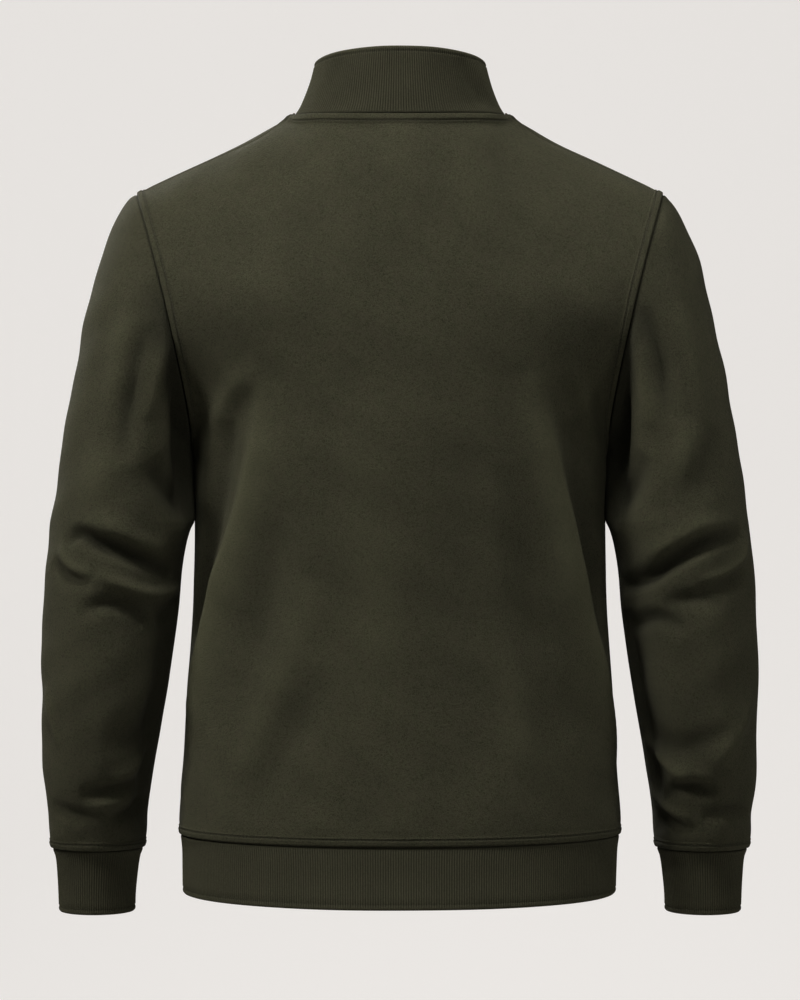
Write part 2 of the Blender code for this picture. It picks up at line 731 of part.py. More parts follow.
def make_pull(pivot, garment, cutters):
    """Pull tab: a pin under the bridge, two arms round it, and a flat tab with a rounded end."""
    metal = "zip metal"
    pull = add_block("zip_pull", (0, -(PULL_EYE_LENGTH + PULL_LENGTH) / 2, 0),
                     (2 * PULL_HALF_WIDTH, PULL_LENGTH - PULL_EYE_LENGTH, PULL_THICKNESS),
                     metal, garment, pivot, PULL_ROUNDING)
    arms = [
        add_block(f"pull arm {side:+d}",
                  (side * (PULL_HALF_WIDTH - PULL_ARM / 2), -PULL_EYE_LENGTH / 2, 0),
                  (PULL_ARM, PULL_EYE_LENGTH + 2 * PIVOT_RADIUS, 2 * PIVOT_RADIUS),
                  metal, garment, pivot)
        for side in (-1, 1)
    ]
    pin = add_block("pull pin", (0, 0, 0),
                    (2 * PULL_HALF_WIDTH - PULL_ARM, 2 * PIVOT_RADIUS, 2 * PIVOT_RADIUS),
                    metal, garment, pivot, PIN_ROUNDING)
    join_to(pull, (*arms, pin), cutters)


def make_empty(name, location, rotation, collection, parent=None):
    empty = bpy.data.objects.new(name, None)
    empty.location = location
    empty.rotation_euler = rotation
    empty.parent = parent
    collection.objects.link(empty)
    return empty


def make_zip(panel_front, collar, garment, cutters):
    line, turns = zip_line(panel_front, collar)

    def zip_place(height):
        return place_on_zip(line, turns, height)

    top = line[-1].z - ZIP_TOP_ROOM
    slider_middle = top - SLIDER_LENGTH / 2
    chain_top = slider_middle - SLIDER_LENGTH / 2 - SEAM_GAP
    foot = line[0].z + ZIP_FOOT
    chain_low = foot + STOP_LENGTH
    heights = [p.z for p in line
               if chain_low + SHORTEST_LENGTH < p.z < chain_top - SHORTEST_LENGTH]
    for side, name in ((1, "zip_tape_left"), (-1, "zip_tape_right")):
        sides = (side * (CHAIN_HALF_WIDTH + SEAM_GAP), side * TAPE_EDGE)
        zip_strip(name, sides, TAPE_DEPTH, [foot - TAPE_BELOW_SLIT, *heights, top],
                  zip_place, "tape", garment, TAPE_TURN_BACK)
    zip_strip("zip_chain", (-CHAIN_HALF_WIDTH, CHAIN_HALF_WIDTH), CHAIN_DEPTH,
              [chain_low, *heights, chain_top], zip_place, "zip metal", garment)
    zip_strip("zip_stop", (-STOP_HALF_WIDTH, STOP_HALF_WIDTH), STOP_DEPTH,
              [foot, chain_low - SEAM_GAP], zip_place, "zip metal", garment)

    middle, out = zip_place(slider_middle)
    lean = math.atan2(-out.y, out.z)
    frame = make_empty("slider frame", middle * MM, (lean, 0.0, 0.0), garment)
    make_slider(frame, garment, cutters)
    pin_height = SLIDER_LEVELS[-1] + (BRIDGE_HEIGHT - BRIDGE_WALL) / 2
    pivot = make_empty("pull pivot", Vector((0.0, -PIVOT_DROP, pin_height)) * MM,
                       (0.0, 0.0, 0.0), garment, frame)
    make_pull(pivot, garment, cutters)


def main():
    clear_scene()
    garment = bpy.data.collections.new("quarter zip sweater")
    cutters = bpy.data.collections.new("cutters")
    bpy.context.scene.collection.children.link(garment)
    bpy.context.scene.collection.children.link(cutters)

    front_rows = panel_rows("front")
    middle_column = len(front_rows[0]) // 2 - 1

    def in_slit(row, column):
        return column == middle_column and front_rows[row][column].z > SLIT_END

    back = Sheet("back_panel", "body", "fleece", panel_rows("back"), False)
    front = Sheet("front_panel", "body", "fleece", front_rows, False, in_slit)
    collar = Sheet("collar", "collar", "rib", collar_rows(), False)
    sheets = [back, front, collar, Sheet("hem_band", "hem", "rib", hem_rows(), True)]
    for side in ("left", "right"):
        lower = tube_rows(side, CUFF_SEAM, BICEP, SLEEVE_STEPS)
        sleeve = on_side(lower[:-1] + cap_rows(side), side)
        cuff = on_side(tube_rows(side, CUFF_END, CUFF_SEAM, CUFF_STEPS), side)
        sheets.append(Sheet(f"sleeve_{side}", f"sleeve {side}", "fleece", sleeve, True))
        sheets.append(Sheet(f"cuff_{side}", f"cuff {side}", "rib", cuff, True))

    normals = seam_normals(sheets)
    for sheet in sheets:
        cloth_wall(sheet, normals, garment)
    make_zip(front, collar, garment, cutters)


main()
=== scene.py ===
import math

import bpy
import numpy as np
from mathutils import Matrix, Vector
from mathutils.kdtree import KDTree


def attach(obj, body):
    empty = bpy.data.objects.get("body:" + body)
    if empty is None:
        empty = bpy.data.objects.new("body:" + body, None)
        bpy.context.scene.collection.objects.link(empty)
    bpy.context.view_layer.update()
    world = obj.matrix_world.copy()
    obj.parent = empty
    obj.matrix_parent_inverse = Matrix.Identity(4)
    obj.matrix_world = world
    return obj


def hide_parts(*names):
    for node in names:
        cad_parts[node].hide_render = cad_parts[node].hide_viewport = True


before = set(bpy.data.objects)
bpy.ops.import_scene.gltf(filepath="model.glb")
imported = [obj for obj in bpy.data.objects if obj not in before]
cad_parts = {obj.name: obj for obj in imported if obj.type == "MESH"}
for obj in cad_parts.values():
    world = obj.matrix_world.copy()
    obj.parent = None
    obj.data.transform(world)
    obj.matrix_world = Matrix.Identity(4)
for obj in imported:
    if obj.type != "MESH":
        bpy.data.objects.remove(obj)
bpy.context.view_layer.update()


# ---------------------------------------------------------------- studio
# A seamless sweep of warm white paper and five soft lamps: a key from high on the wearer's left, a
# weaker one from the right, one overhead, a low fill and one for the front. The camera looks square
# at the back.

MIDDLE_HEIGHT = -0.331
CAMERA_DISTANCE = 2.8
CAMERA_LENS = 115.2
PAPER_COLOUR = (0.80, 0.775, 0.75)
PAPER_GLOW = 0.83           # as the camera sees the paper
PAPER_BOUNCE = 0.04         # as the garment is lit by it
FLOOR_HEIGHT = -1.9
SWEEP_HALF_WIDTH = 9.0
SWEEP_BACK = -4.6
SWEEP_FRONT = 9.0
SWEEP_TOP = 5.0
SWEEP_CURVE = 1.6
LAMPS = (
    # name, place, height aimed at, size, power, colour
    ("key lamp", (2.1, 1.25, 1.9), -0.3, 0.7, 72.0, (1.0, 0.985, 0.96)),
    ("right lamp", (-2.4, 1.1, 1.3), -0.35, 0.8, 15.0, (1.0, 0.99, 0.97)),
    ("overhead lamp", (0.35, 1.15, 2.2), -0.4, 0.6, 37.0, (1.0, 0.99, 0.97)),
    ("low lamp", (-0.8, 2.7, 0.5), -0.4, 0.8, 12.0, (1.0, 0.99, 0.97)),
    ("front lamp", (1.2, -2.4, 1.4), -0.3, 1.4, 60.0, (1.0, 0.99, 0.97)),
)


def deselect():
    if bpy.context.mode != "OBJECT":
        bpy.ops.object.mode_set(mode="OBJECT")
    bpy.ops.object.select_all(action="DESELECT")


deselect()
bpy.ops.mesh.primitive_plane_add(size=1.0)
sweep = bpy.context.active_object
sweep.name = "sweep"
bpy.ops.object.mode_set(mode="EDIT")
bpy.ops.transform.resize(value=(2 * SWEEP_HALF_WIDTH, SWEEP_FRONT - SWEEP_BACK, 1.0))
bpy.ops.transform.translate(value=(0.0, (SWEEP_FRONT + SWEEP_BACK) / 2, FLOOR_HEIGHT))
bpy.ops.mesh.select_mode(type="EDGE")
bpy.ops.mesh.select_all(action="DESELECT")
bpy.ops.object.mode_set(mode="OBJECT")
for edge in sweep.data.edges:
    edge.select = all(sweep.data.vertices[v].co.y < 0 for v in edge.vertices)
bpy.ops.object.mode_set(mode="EDIT")
bpy.ops.mesh.extrude_region_move(TRANSFORM_OT_translate={"value": (0, 0, SWEEP_TOP - FLOOR_HEIGHT)})
bpy.ops.mesh.select_all(action="DESELECT")
bpy.ops.object.mode_set(mode="OBJECT")
for edge in sweep.data.edges:
    ends = [sweep.data.vertices[v].co for v in edge.vertices]
    edge.select = all(p.y < 0 and p.z < FLOOR_HEIGHT + 0.1 for p in ends)
bpy.ops.object.mode_set(mode="EDIT")
bpy.ops.mesh.bevel(offset=SWEEP_CURVE, segments=16)
bpy.ops.mesh.select_all(action="SELECT")
bpy.ops.mesh.normals_make_consistent(inside=False)
bpy.ops.object.mode_set(mode="OBJECT")
bpy.ops.object.shade_smooth()

paper = bpy.data.materials.new("studio paper")
paper.use_nodes = True
shader = paper.node_tree.nodes["Principled BSDF"]
shader.inputs["Base Color"].default_value = (0.40, 0.39, 0.38, 1.0)
shader.inputs["Roughness"].default_value = 0.95
shader.inputs["Specular IOR Level"].default_value = 0.1
shader.inputs["Emission Color"].default_value = (*PAPER_COLOUR, 1.0)
sweep.data.materials.append(paper)
rays = paper.node_tree.nodes.new("ShaderNodeLightPath")
glow = paper.node_tree.nodes.new("ShaderNodeMapRange")
glow.inputs["To Min"].default_value = PAPER_BOUNCE
glow.inputs["To Max"].default_value = PAPER_GLOW
paper.node_tree.links.new(rays.outputs["Is Camera Ray"], glow.inputs["Value"])
paper.node_tree.links.new(glow.outputs["Result"], shader.inputs["Emission Strength"])

for name, place, aim_height, size, power, colour in LAMPS:
    lamp = bpy.data.lights.new(name, "AREA")
    lamp.shape = "DISK"
    lamp.size = size
    lamp.energy = power
    lamp.color = colour
    thing = bpy.data.objects.new(name, lamp)
    thing.location = place
    aim = Vector((0.0, 0.0, aim_height)) - Vector(place)
    thing.rotation_euler = aim.to_track_quat("-Z", "Y").to_euler()
    bpy.context.scene.collection.objects.link(thing)

world = bpy.data.worlds.new("studio")
world.use_nodes = True
world.node_tree.nodes["Background"].inputs["Color"].default_value = (1.0, 0.985, 0.97, 1.0)
world.node_tree.nodes["Background"].inputs["Strength"].default_value = 0.03
bpy.context.scene.world = world
bpy.context.scene.view_settings.view_transform = "Standard"

camera = bpy.data.objects.new("camera", bpy.data.cameras.new("camera"))
camera.data.lens = CAMERA_LENS
camera.data.clip_end = 60.0
camera.location = (0.0, CAMERA_DISTANCE, MIDDLE_HEIGHT)
camera.rotation_euler = (math.pi / 2, 0.0, math.pi)
bpy.context.scene.collection.objects.link(camera)
bpy.context.scene.camera = camera


# ---------------------------------------------------------------- back and front panel
# Two panels of brushed-back fleece, overlocked at the shoulders and sides. Neck, armhole and hem
# seams are pressed towards the body and topstitched, which leaves a narrow raised welt beside them.
# Sizes and tables are in millimetres. The cloth hangs from the shoulders in long soft folds.

MM = 0.001
CLOTH_THICKNESS = 2.0
HEM = -674.0
HEM_SEAM = -623.0
BLOUSE = -610.0
UNDERARM = -285.0
SIDE_SEAM = -8.0
BODY_ROUNDNESS = 2.1
BODY_SECTIONS = (
    # height, half width, back, front, side seam
    (HEM, 189.5, 127.0, -134.0, SIDE_SEAM),
    (-650.0, 190.0, 120.0, -130.0, SIDE_SEAM),
    (-635.0, 190.5, 117.0, -127.0, SIDE_SEAM),
    (HEM_SEAM, 192.0, 115.0, -126.0, SIDE_SEAM),
    (BLOUSE, 193.6, 117.0, -127.0, SIDE_SEAM),
    (-567.0, 190.3, 114.0, -126.0, SIDE_SEAM),
    (-497.0, 186.4, 109.0, -126.0, SIDE_SEAM),
    (-427.0, 181.6, 107.0, -128.0, SIDE_SEAM),
    (-357.0, 180.0, 110.0, -131.0, SIDE_SEAM),
    (UNDERARM, 181.0, 114.0, -132.0, SIDE_SEAM),
)

NECK_HALF_WIDTH = 92.5
NECK_SIDE = (0.0, -2.0, 5.0)
NECK_BACK = (0.0, 64.0, 0.0)
NECK_FRONT = (0.0, -88.0, -60.0)
NECK_DIP = 2.0

NECK_CORNER_ANGLE = 83.0
NECK_CORNER_SHARE = 0.42
SHOULDER_TIP = np.array((230.0, 6.0, -65.0))
CORNER_EASE = 6.0
SHOULDER_LINE = (
    # distance from the centre, height
    (92.0, 4.5),
    (99.8, -2.0),
    (110.0, -8.5),
    (146.6, -26.0),
    (186.0, -43.5),
    (214.0, -56.5),
    (230.0, -65.0),
)

CHEST_RISE = 150.0
UNDERARM_RISE = 75.0
UNDERARM_LEAN = 150.0
UNDERARM_REACH = 4.0
BLADE_EASE = 0.8
SMALL_SHARE = 0.01
PANELS = {
    "back": {"turn": 1.0, "centre": (0.0, 108.0, -140.0), "armhole": (198.5, 78.5, -170.0),
             "neck_lean": (0.0, -90.0, 100.0)},
    "front": {"turn": -1.0, "centre": (0.0, -119.0, -165.0), "armhole": (191.0, -72.0, -172.0),
              "neck_lean": (0.0, 42.0, 88.0)},
}
NECK_CORNER_LEAN = np.array((-4.0, -150.0, 68.0))
SHOULDER_TIP_LEAN = np.array((20.0, -158.0, 44.0))
SLIT_HALF_WIDTH = 6.0
SLIT_END = -215.0
SLIT_OVERRUN = 4.0          # the slit's dip runs on this far below its end
SLIT_DIP = 0.9
SLIT_DIP_WIDTH = 1.2
SLIT_STITCH_DIP = 0.45
SLIT_STITCH_WIDTH = 0.8

# Columns and rows lie closer together past these, beside the seams
FINE_SHARE = 0.93
FINE_PART = 1.88
FINE_HEM = 9.0

# Folds follow a line of places on the cloth: distance across from the panel's centre, and height.
# The half widths are those on the left and the right of the line as it runs; troughs are negative.
BODY_CREASES = {
    "back": (
        # places along the fold, left half width, right half width, rise
        (((114, -228), (140, -335), (164, -393), (190, -462), (226, -552)), 9.0, 22.0, 11.0),
        (((156, -262), (168, -320), (190, -380), (216, -460)), 14.0, 12.0, -9.5),
        (((98, -330), (114, -400), (142, -500)), 18.0, 16.0, -4.5),
        (((74, -400), (98, -470), (142, -568)), 16.0, 14.0, 3.6),
        (((60, -470), (92, -530), (134, -600)), 15.0, 14.0, -3.6),
        (((118, -214), (148, -238), (174, -266), (192, -300)), 11.0, 13.0, 3.2),
        (((128, -234), (146, -256), (166, -306)), 10.0, 10.0, -2.6),
        (((-112, -222), (-143, -320), (-171, -420), (-200, -495), (-232, -564)), 20.0, 9.0, 10.5),
        (((-152, -262), (-172, -340), (-196, -400), (-220, -470)), 12.0, 14.0, -10.0),
        (((-96, -300), (-116, -420), (-150, -540)), 18.0, 18.0, -3.4),
        (((-146, -214), (-170, -250), (-196, -300)), 9.0, 9.0, 3.2),
        (((-78, -430), (-104, -520), (-140, -604)), 18.0, 18.0, 2.6),
        (((36, -230), (16, -380), (30, -560)), 34.0, 34.0, 2.4),
        (((-30, -260), (-50, -430), (-40, -590)), 28.0, 28.0, -2.4),
    ),
    "front": (
        (((118, -226), (144, -330), (170, -410), (196, -480), (224, -556)), 22.0, 10.0, 7.5),
        (((150, -292), (176, -352), (206, -430)), 14.0, 14.0, -5.5),
        (((96, -352), (112, -430), (138, -510)), 16.0, 16.0, -3.8),
        (((70, -470), (98, -535), (130, -592)), 14.0, 14.0, 3.2),
        (((206, -262), (172, -240), (132, -232)), 9.0, 9.0, 4.0),
        (((214, -284), (180, -262), (146, -256)), 9.0, 9.0, -3.8),
        (((-114, -222), (-138, -318), (-166, -405), (-198, -490), (-228, -562)), 10.0, 22.0, 7.5),
        (((-156, -290), (-180, -362), (-204, -440)), 14.0, 14.0, -5.5),
        (((-100, -344), (-118, -430), (-140, -506)), 16.0, 16.0, -3.4),
        (((-204, -266), (-168, -236), (-126, -222)), 9.0, 9.0, 3.6),
        (((8, -226), (28, -262), (34, -310)), 12.0, 12.0, 2.6),
        (((-8, -228), (-22, -270), (-24, -316)), 12.0, 12.0, 2.2),
        (((0, -300), (10, -420), (-6, -560)), 30.0, 30.0, -1.2),
    ),
}
SETTLE = 24.0               # folds die out this far from a seam
SIDE_SETTLE = 34.0
SLIT_SETTLE = 16.0
FOLD_ENDS = 0.7             # how soon a fold rises from its ends; 1 is a plain half wave
RIPPLE = 0.5
RIPPLE_WAVES = 9
RIPPLE_LENGTHS = (38.0, 95.0)
PATH_STEPS = 8
RELAX_TIMES = 160
RELAX_SHARE = 0.5
# The panel keeps its own form beside these and is eased fully only this far from them
HELD = {"top": 18.0, "armhole": 40.0, "underarm": 60.0, "slit": 30.0}
FAR = 1000.0                # a distance at which no seam is felt
SHARP_ANGLE = 70.0

NECK_SAMPLES = 1600
SHOULDER_SAMPLES = 500
ARMHOLE_SAMPLES = 900

WELT_WIDTH = 8.0
WELT_RISE = 1.6
WELT_EDGE = 1.0
WELT_SLOPE = 2.2
STITCH_LINE = 6.6
STITCH_DIP = 1.4
STITCH_DIP_WIDTH = 0.75
SEAM_DIP = 1.0
SEAM_DIP_WIDTH = 0.9
NECK_WELT_STRETCH = 1.2     # the welt at the neck is wider than the others
NECK_CLEAR = 6.0            # the shoulder seam's dip ends this near the neck seam
SEAM_SHADE_WIDTH = 1.1
STITCH_SHADE = 0.95
STITCH_SHADE_WIDTH = 0.9
# Painted shade in the hollows of folds and painted highlight on their ridges, mixed into the cloth's
# colour
HOLLOW_SHADE = {"body": 0.5, "sleeve": 0.95}
RIDGE_PAINTED_HIGHLIGHT = 0.65
RIDGE_GAIN = 2.2            # the colour mixed in on a ridge, as a multiple of the light fibre's
HOLLOW_DEPTH = 9.0


def read_table(table, key):
    """Values at the keys, on smooth curves through the table's columns."""
    rows = np.array(table, float)
    places, values = rows[:, 0], rows[:, 1:]
    last = len(rows) - 1
    before = np.maximum(np.arange(last + 1) - 1, 0)
    after = np.minimum(np.arange(last + 1) + 1, last)
    slopes = (values[after] - values[before]) / (places[after] - places[before])[:, None]
    key = np.asarray(key, float)
    low = np.clip(np.searchsorted(places, key, side="right") - 1, 0, last - 1)
    span = (places[low + 1] - places[low])[..., None]
    t = (key[..., None] - places[low][..., None]) / span
    return curve(values[low], values[low + 1], slopes[low] * span, slopes[low + 1] * span, t)


def curve(start, end, leave, arrive, t):
    """Points at t on curves from start to end that leave and arrive in the given directions."""
    return (start * (2 * t**3 - 3 * t**2 + 1) + leave * (t**3 - 2 * t**2 + t)
            + end * (3 * t**2 - 2 * t**3) + arrive * (t**3 - t**2))


def unit(vectors):
    return vectors / np.maximum(np.linalg.norm(vectors, axis=-1, keepdims=True), 1e-9)


def stack(x, y, z):
    return np.stack(np.broadcast_arrays(x, y, z), axis=-1).astype(float)


def body_section(panel, share, height):
    """Points below the underarm; share is 0 at a panel's centre, 1 or -1 at its sides."""
    share, height = np.broadcast_arrays(np.asarray(share, float), np.asarray(height, float))
    sizes = read_table(BODY_SECTIONS, height)
    half_width, back, front, side = (sizes[..., i] for i in range(4))
    depth = (back if panel == "back" else front) - side
    angle = np.abs(share) * math.pi / 2
    power = 2 / BODY_ROUNDNESS
    across = half_width * np.sin(angle) ** power
    return stack(np.copysign(across, share),
                 side + depth * np.maximum(np.cos(angle), 0.0) ** power, height)


def egg_point(angle, half_width, side, back, front, dip):
    """Points round an egg-shaped line that dips at its ends; 0 degrees is the centre back."""
    turn = np.radians(np.abs(angle))
    to_back = np.cos(turn) > 0
    lean = np.abs(np.cos(turn))
    end_y = np.where(to_back, back[1], front[1])
    end_z = np.where(to_back, back[2], front[2])
    return stack(np.copysign(half_width * np.sin(turn), angle),
                 side[1] + (end_y - side[1]) * lean, side[2] + (end_z - side[2]) * lean**dip)


def neck_point(angle):
    return egg_point(angle, NECK_HALF_WIDTH, NECK_SIDE, NECK_BACK, NECK_FRONT, NECK_DIP)


def neck_angle(panel, share):
    part = np.abs(share) / NECK_CORNER_SHARE
    angle = NECK_CORNER_ANGLE * part
    if panel == "front":
        angle = 180.0 - (180.0 - NECK_CORNER_ANGLE) * part
    return np.copysign(angle, share)


def top_edge(panel, size):
    """Points on the neck seam, or past its corner on the shoulder seam."""
    corner = neck_point(NECK_CORNER_ANGLE)
    part = np.clip((size - NECK_CORNER_SHARE) / (1 - NECK_CORNER_SHARE), 0.0, 1.0)
    across = corner[0] + (SHOULDER_TIP[0] - corner[0]) * part
    drop = read_table(SHOULDER_LINE, across)[..., 0] - corner[2]
    height = corner[2] + drop * np.minimum(part * CORNER_EASE, 1.0)
    shoulder = stack(across, SHOULDER_TIP[1], height)
    on_neck = (size <= NECK_CORNER_SHARE)[..., None]
    return np.where(on_neck, neck_point(neck_angle(panel, size)), shoulder)


def top_lean(panel, size):
    turn, neck_lean = PANELS[panel]["turn"], np.array(PANELS[panel]["neck_lean"])
    near = np.clip(size / NECK_CORNER_SHARE, 0.0, 1.0)[..., None] ** 2
    far = np.clip((size - NECK_CORNER_SHARE) / (1 - NECK_CORNER_SHARE), 0.0, 1.0)[..., None]
    on_neck = (size <= NECK_CORNER_SHARE)[..., None]
    neck = neck_lean + (NECK_CORNER_LEAN * turn - neck_lean) * near
    shoulder = (NECK_CORNER_LEAN + (SHOULDER_TIP_LEAN - NECK_CORNER_LEAN) * far) * turn
    return np.where(on_neck, neck, shoulder)


def upper_body(panel, share, part):
    """Points above the underarm; part runs from 0 at the underarm, through 1, to 2 at the top."""
    share, part = np.broadcast_arrays(np.asarray(share, float), np.asarray(part, float))
    size, t = np.abs(share), part[..., None]
    low, top = body_section(panel, size, UNDERARM), top_edge(panel, size)
    centre, armhole = (np.array(PANELS[panel][name]) for name in ("centre", "armhole"))
    across = (low[..., 0] + top[..., 0]) / 2
    widest = (BODY_SECTIONS[-1][1] + SHOULDER_TIP[0]) / 2
    across = across * (1 + (armhole[0] / widest - 1) * across / widest)
    out = across / armhole[0]
    middle = stack(across, centre[1] + (armhole[1] - centre[1]) * out**3,
                   centre[2] + (armhole[2] - centre[2]) * out**2)
    through = (top - low) * np.array((1.0, BLADE_EASE, 1.0)) / 2
    level = unit(body_section(panel, size - SMALL_SHARE, UNDERARM) - low)
    near_side = (size**UNDERARM_REACH)[..., None]
    leave = level * UNDERARM_LEAN * near_side
    leave[..., 2] += (CHEST_RISE + (UNDERARM_RISE - CHEST_RISE) * near_side)[..., 0]
    point = np.where(t <= 1, curve(low, middle, leave, through, np.minimum(t, 1.0)),
                     curve(middle, top, through, top_lean(panel, size), np.maximum(t - 1, 0.0)))
    point[..., 0] = np.copysign(point[..., 0], share)
    return point


def slit_share():
    half_width = BODY_SECTIONS[-1][1]
    return math.asin((SLIT_HALF_WIDTH / half_width) ** (BODY_ROUNDNESS / 2)) / (math.pi / 2)


def spread(*stretches):
    """Places along a line, from stretches of (start, end, number of steps)."""
    places = [np.linspace(start, end, count + 1)[:-1] for start, end, count in stretches]
    return np.concatenate([*places, [stretches[-1][1]]])


def panel_shares(panel):
    """Columns of a panel, anticlockwise as seen from above, closer together at its sides."""
    start = slit_share() if panel == "front" else 0.0
    half = spread((start, NECK_CORNER_SHARE, 32), (NECK_CORNER_SHARE, FINE_SHARE, 36),
                  (FINE_SHARE, 1.0, 20))
    whole = np.concatenate([-half[::-1], half[0 if panel == "front" else 1:]])
    return whole if panel == "front" else -whole


def panel_grid(panel):
    shares = panel_shares(panel)[None, :]
    fine_top = HEM_SEAM + FINE_HEM
    heights = spread((HEM_SEAM, fine_top, 14), (fine_top, UNDERARM, 98))[:-1, None]
    parts = spread((0.0, 1.0, 42), (1.0, FINE_PART, 30), (FINE_PART, 2.0, 22))[:, None]
    return np.concatenate([body_section(panel, shares, heights), upper_body(panel, shares, parts)])


def relax(points, hold):
    """Ease sharp bends from column to column along the normals; a point with hold 1 stays put."""
    for _ in range(RELAX_TIMES):
        normals = grid_normals(points, False)
        bend = np.zeros_like(points)
        bend[:, 1:-1] = (points[:, 2:] + points[:, :-2]) / 2 - points[:, 1:-1]
        step = (bend * normals).sum(axis=-1) * (1 - hold) * RELAX_SHARE
        points = points + normals * step[..., None]
    return points


def grid_normals(points, closed):
    """Outward normals of a grid whose rows run up and whose columns run anticlockwise."""
    if closed:
        across = np.roll(points, -1, axis=1) - np.roll(points, 1, axis=1)
    else:
        across = np.gradient(points, axis=1)
    return unit(np.cross(unit(across), unit(np.gradient(points, axis=0))))


def smooth_path(places):
    """The same line with more points, rounded where it bends."""
    places = np.array(places, float)
    ends = np.concatenate([[2 * places[0] - places[1]], places, [2 * places[-1] - places[-2]]])
    runs = [
        curve(ends[i], ends[i + 1], (ends[i + 1] - ends[i - 1]) / 2, (ends[i + 2] - ends[i]) / 2,
              np.linspace(0, 1, PATH_STEPS, endpoint=False)[:, None])
        for i in range(1, len(ends) - 2)
    ]
    return np.concatenate([*runs, [places[-1]]])


def closeness(distance, width):
    """1 on a line, and almost nothing two widths away from it."""
    return np.exp(-((distance / width) ** 2))


def run_along(line):
    """How far along a line each of its points lies."""
    return np.concatenate([[0.0], np.cumsum(np.linalg.norm(np.diff(line, axis=0), axis=1))])


def crease_relief(across, height, creases):
    """How far the cloth lies out or in at places on it, from its table of folds."""
    relief = np.zeros_like(across)
    for places, left_width, right_width, rise in creases:
        path = smooth_path(places)
        lengths = np.linalg.norm(np.diff(path, axis=0), axis=1)
        total, run = lengths.sum(), 0.0
        nearest = np.full(across.shape, np.inf)
        best = np.zeros_like(across)
        for (x, z), (x_end, z_end), length in zip(path, path[1:], lengths):
            along_x, along_z = (x_end - x) / length, (z_end - z) / length
            t = (across - x) * along_x + (height - z) * along_z
            side = along_x * (height - z) - along_z * (across - x)
            beyond = t - np.clip(t, 0.0, length)
            away = np.hypot(side, beyond)
            share = np.clip((run + np.clip(t, 0.0, length)) / total, 0.0, 1.0)
            width = np.where(side > 0, left_width, right_width)
            value = np.sin(math.pi * share) ** FOLD_ENDS * closeness(away, width)
            closer = away < nearest
            best = np.where(closer, value, best)
            nearest = np.where(closer, away, nearest)
            run += length
        relief += rise * best
    return relief


def ripple(across, height, seed):
    """Faint unevenness all over a piece of worn cloth."""
    random = np.random.default_rng(seed)
    relief = np.zeros_like(across)
    for _ in range(RIPPLE_WAVES):
        turn, phase = random.uniform(0, math.pi), random.uniform(0, 2 * math.pi)
        wave = random.uniform(*RIPPLE_LENGTHS)
        along = across * math.cos(turn) + height * math.sin(turn)
        relief += np.sin(along * 2 * math.pi / wave + phase)
    return relief * RIPPLE / 2


def distance_to(points, seam):
    """Distance from each grid point to a line of points."""
    tree = KDTree(len(seam))
    for i, place in enumerate(seam):
        tree.insert(place, i)
    tree.balance()
    flat = [tree.find(p)[2] for p in points.reshape(-1, 3)]
    return np.array(flat).reshape(points.shape[:-1])


def seam_dip(distance):
    return -SEAM_DIP * closeness(distance, SEAM_DIP_WIDTH)


def welt(distance):
    """Raised edge beside a topstitched seam, with the dip of its stitches."""
    raised = WELT_RISE * fade(WELT_WIDTH + WELT_EDGE - distance, WELT_SLOPE)
    stitched = -STITCH_DIP * closeness(distance - STITCH_LINE, STITCH_DIP_WIDTH)
    return raised + stitched + seam_dip(distance) * (1 + WELT_RISE)


def seam_shade(distance):
    """Painted shadow in a seam's groove and under its stitches, from 0 to 1."""
    stitched = STITCH_SHADE * closeness(distance - STITCH_LINE, STITCH_SHADE_WIDTH)
    return closeness(distance, SEAM_SHADE_WIDTH) + stitched


def fold_shade_and_highlight(folds, hollow):
    """Painted shade in the hollows of folds, above 0, and painted highlight on their ridges, below 0.
    """
    return (hollow * np.clip(-folds / HOLLOW_DEPTH, 0.0, 1.0)
            - RIDGE_PAINTED_HIGHLIGHT * np.clip(folds / HOLLOW_DEPTH, 0.0, 1.0))


def fade(distance, reach=SETTLE):
    t = np.clip(distance / reach, 0.0, 1.0)
    return t * t * (3 - 2 * t)


def add_mesh(name, points, faces, material, smooth=True):
    data = bpy.data.meshes.new(name)
    data.from_pydata((points * MM).tolist(), [], faces)
    data.update()
    if smooth:
        data.shade_smooth()
    thing = bpy.data.objects.new(name, data)
    data.materials.append(material)
    bpy.context.scene.collection.objects.link(thing)
    return thing


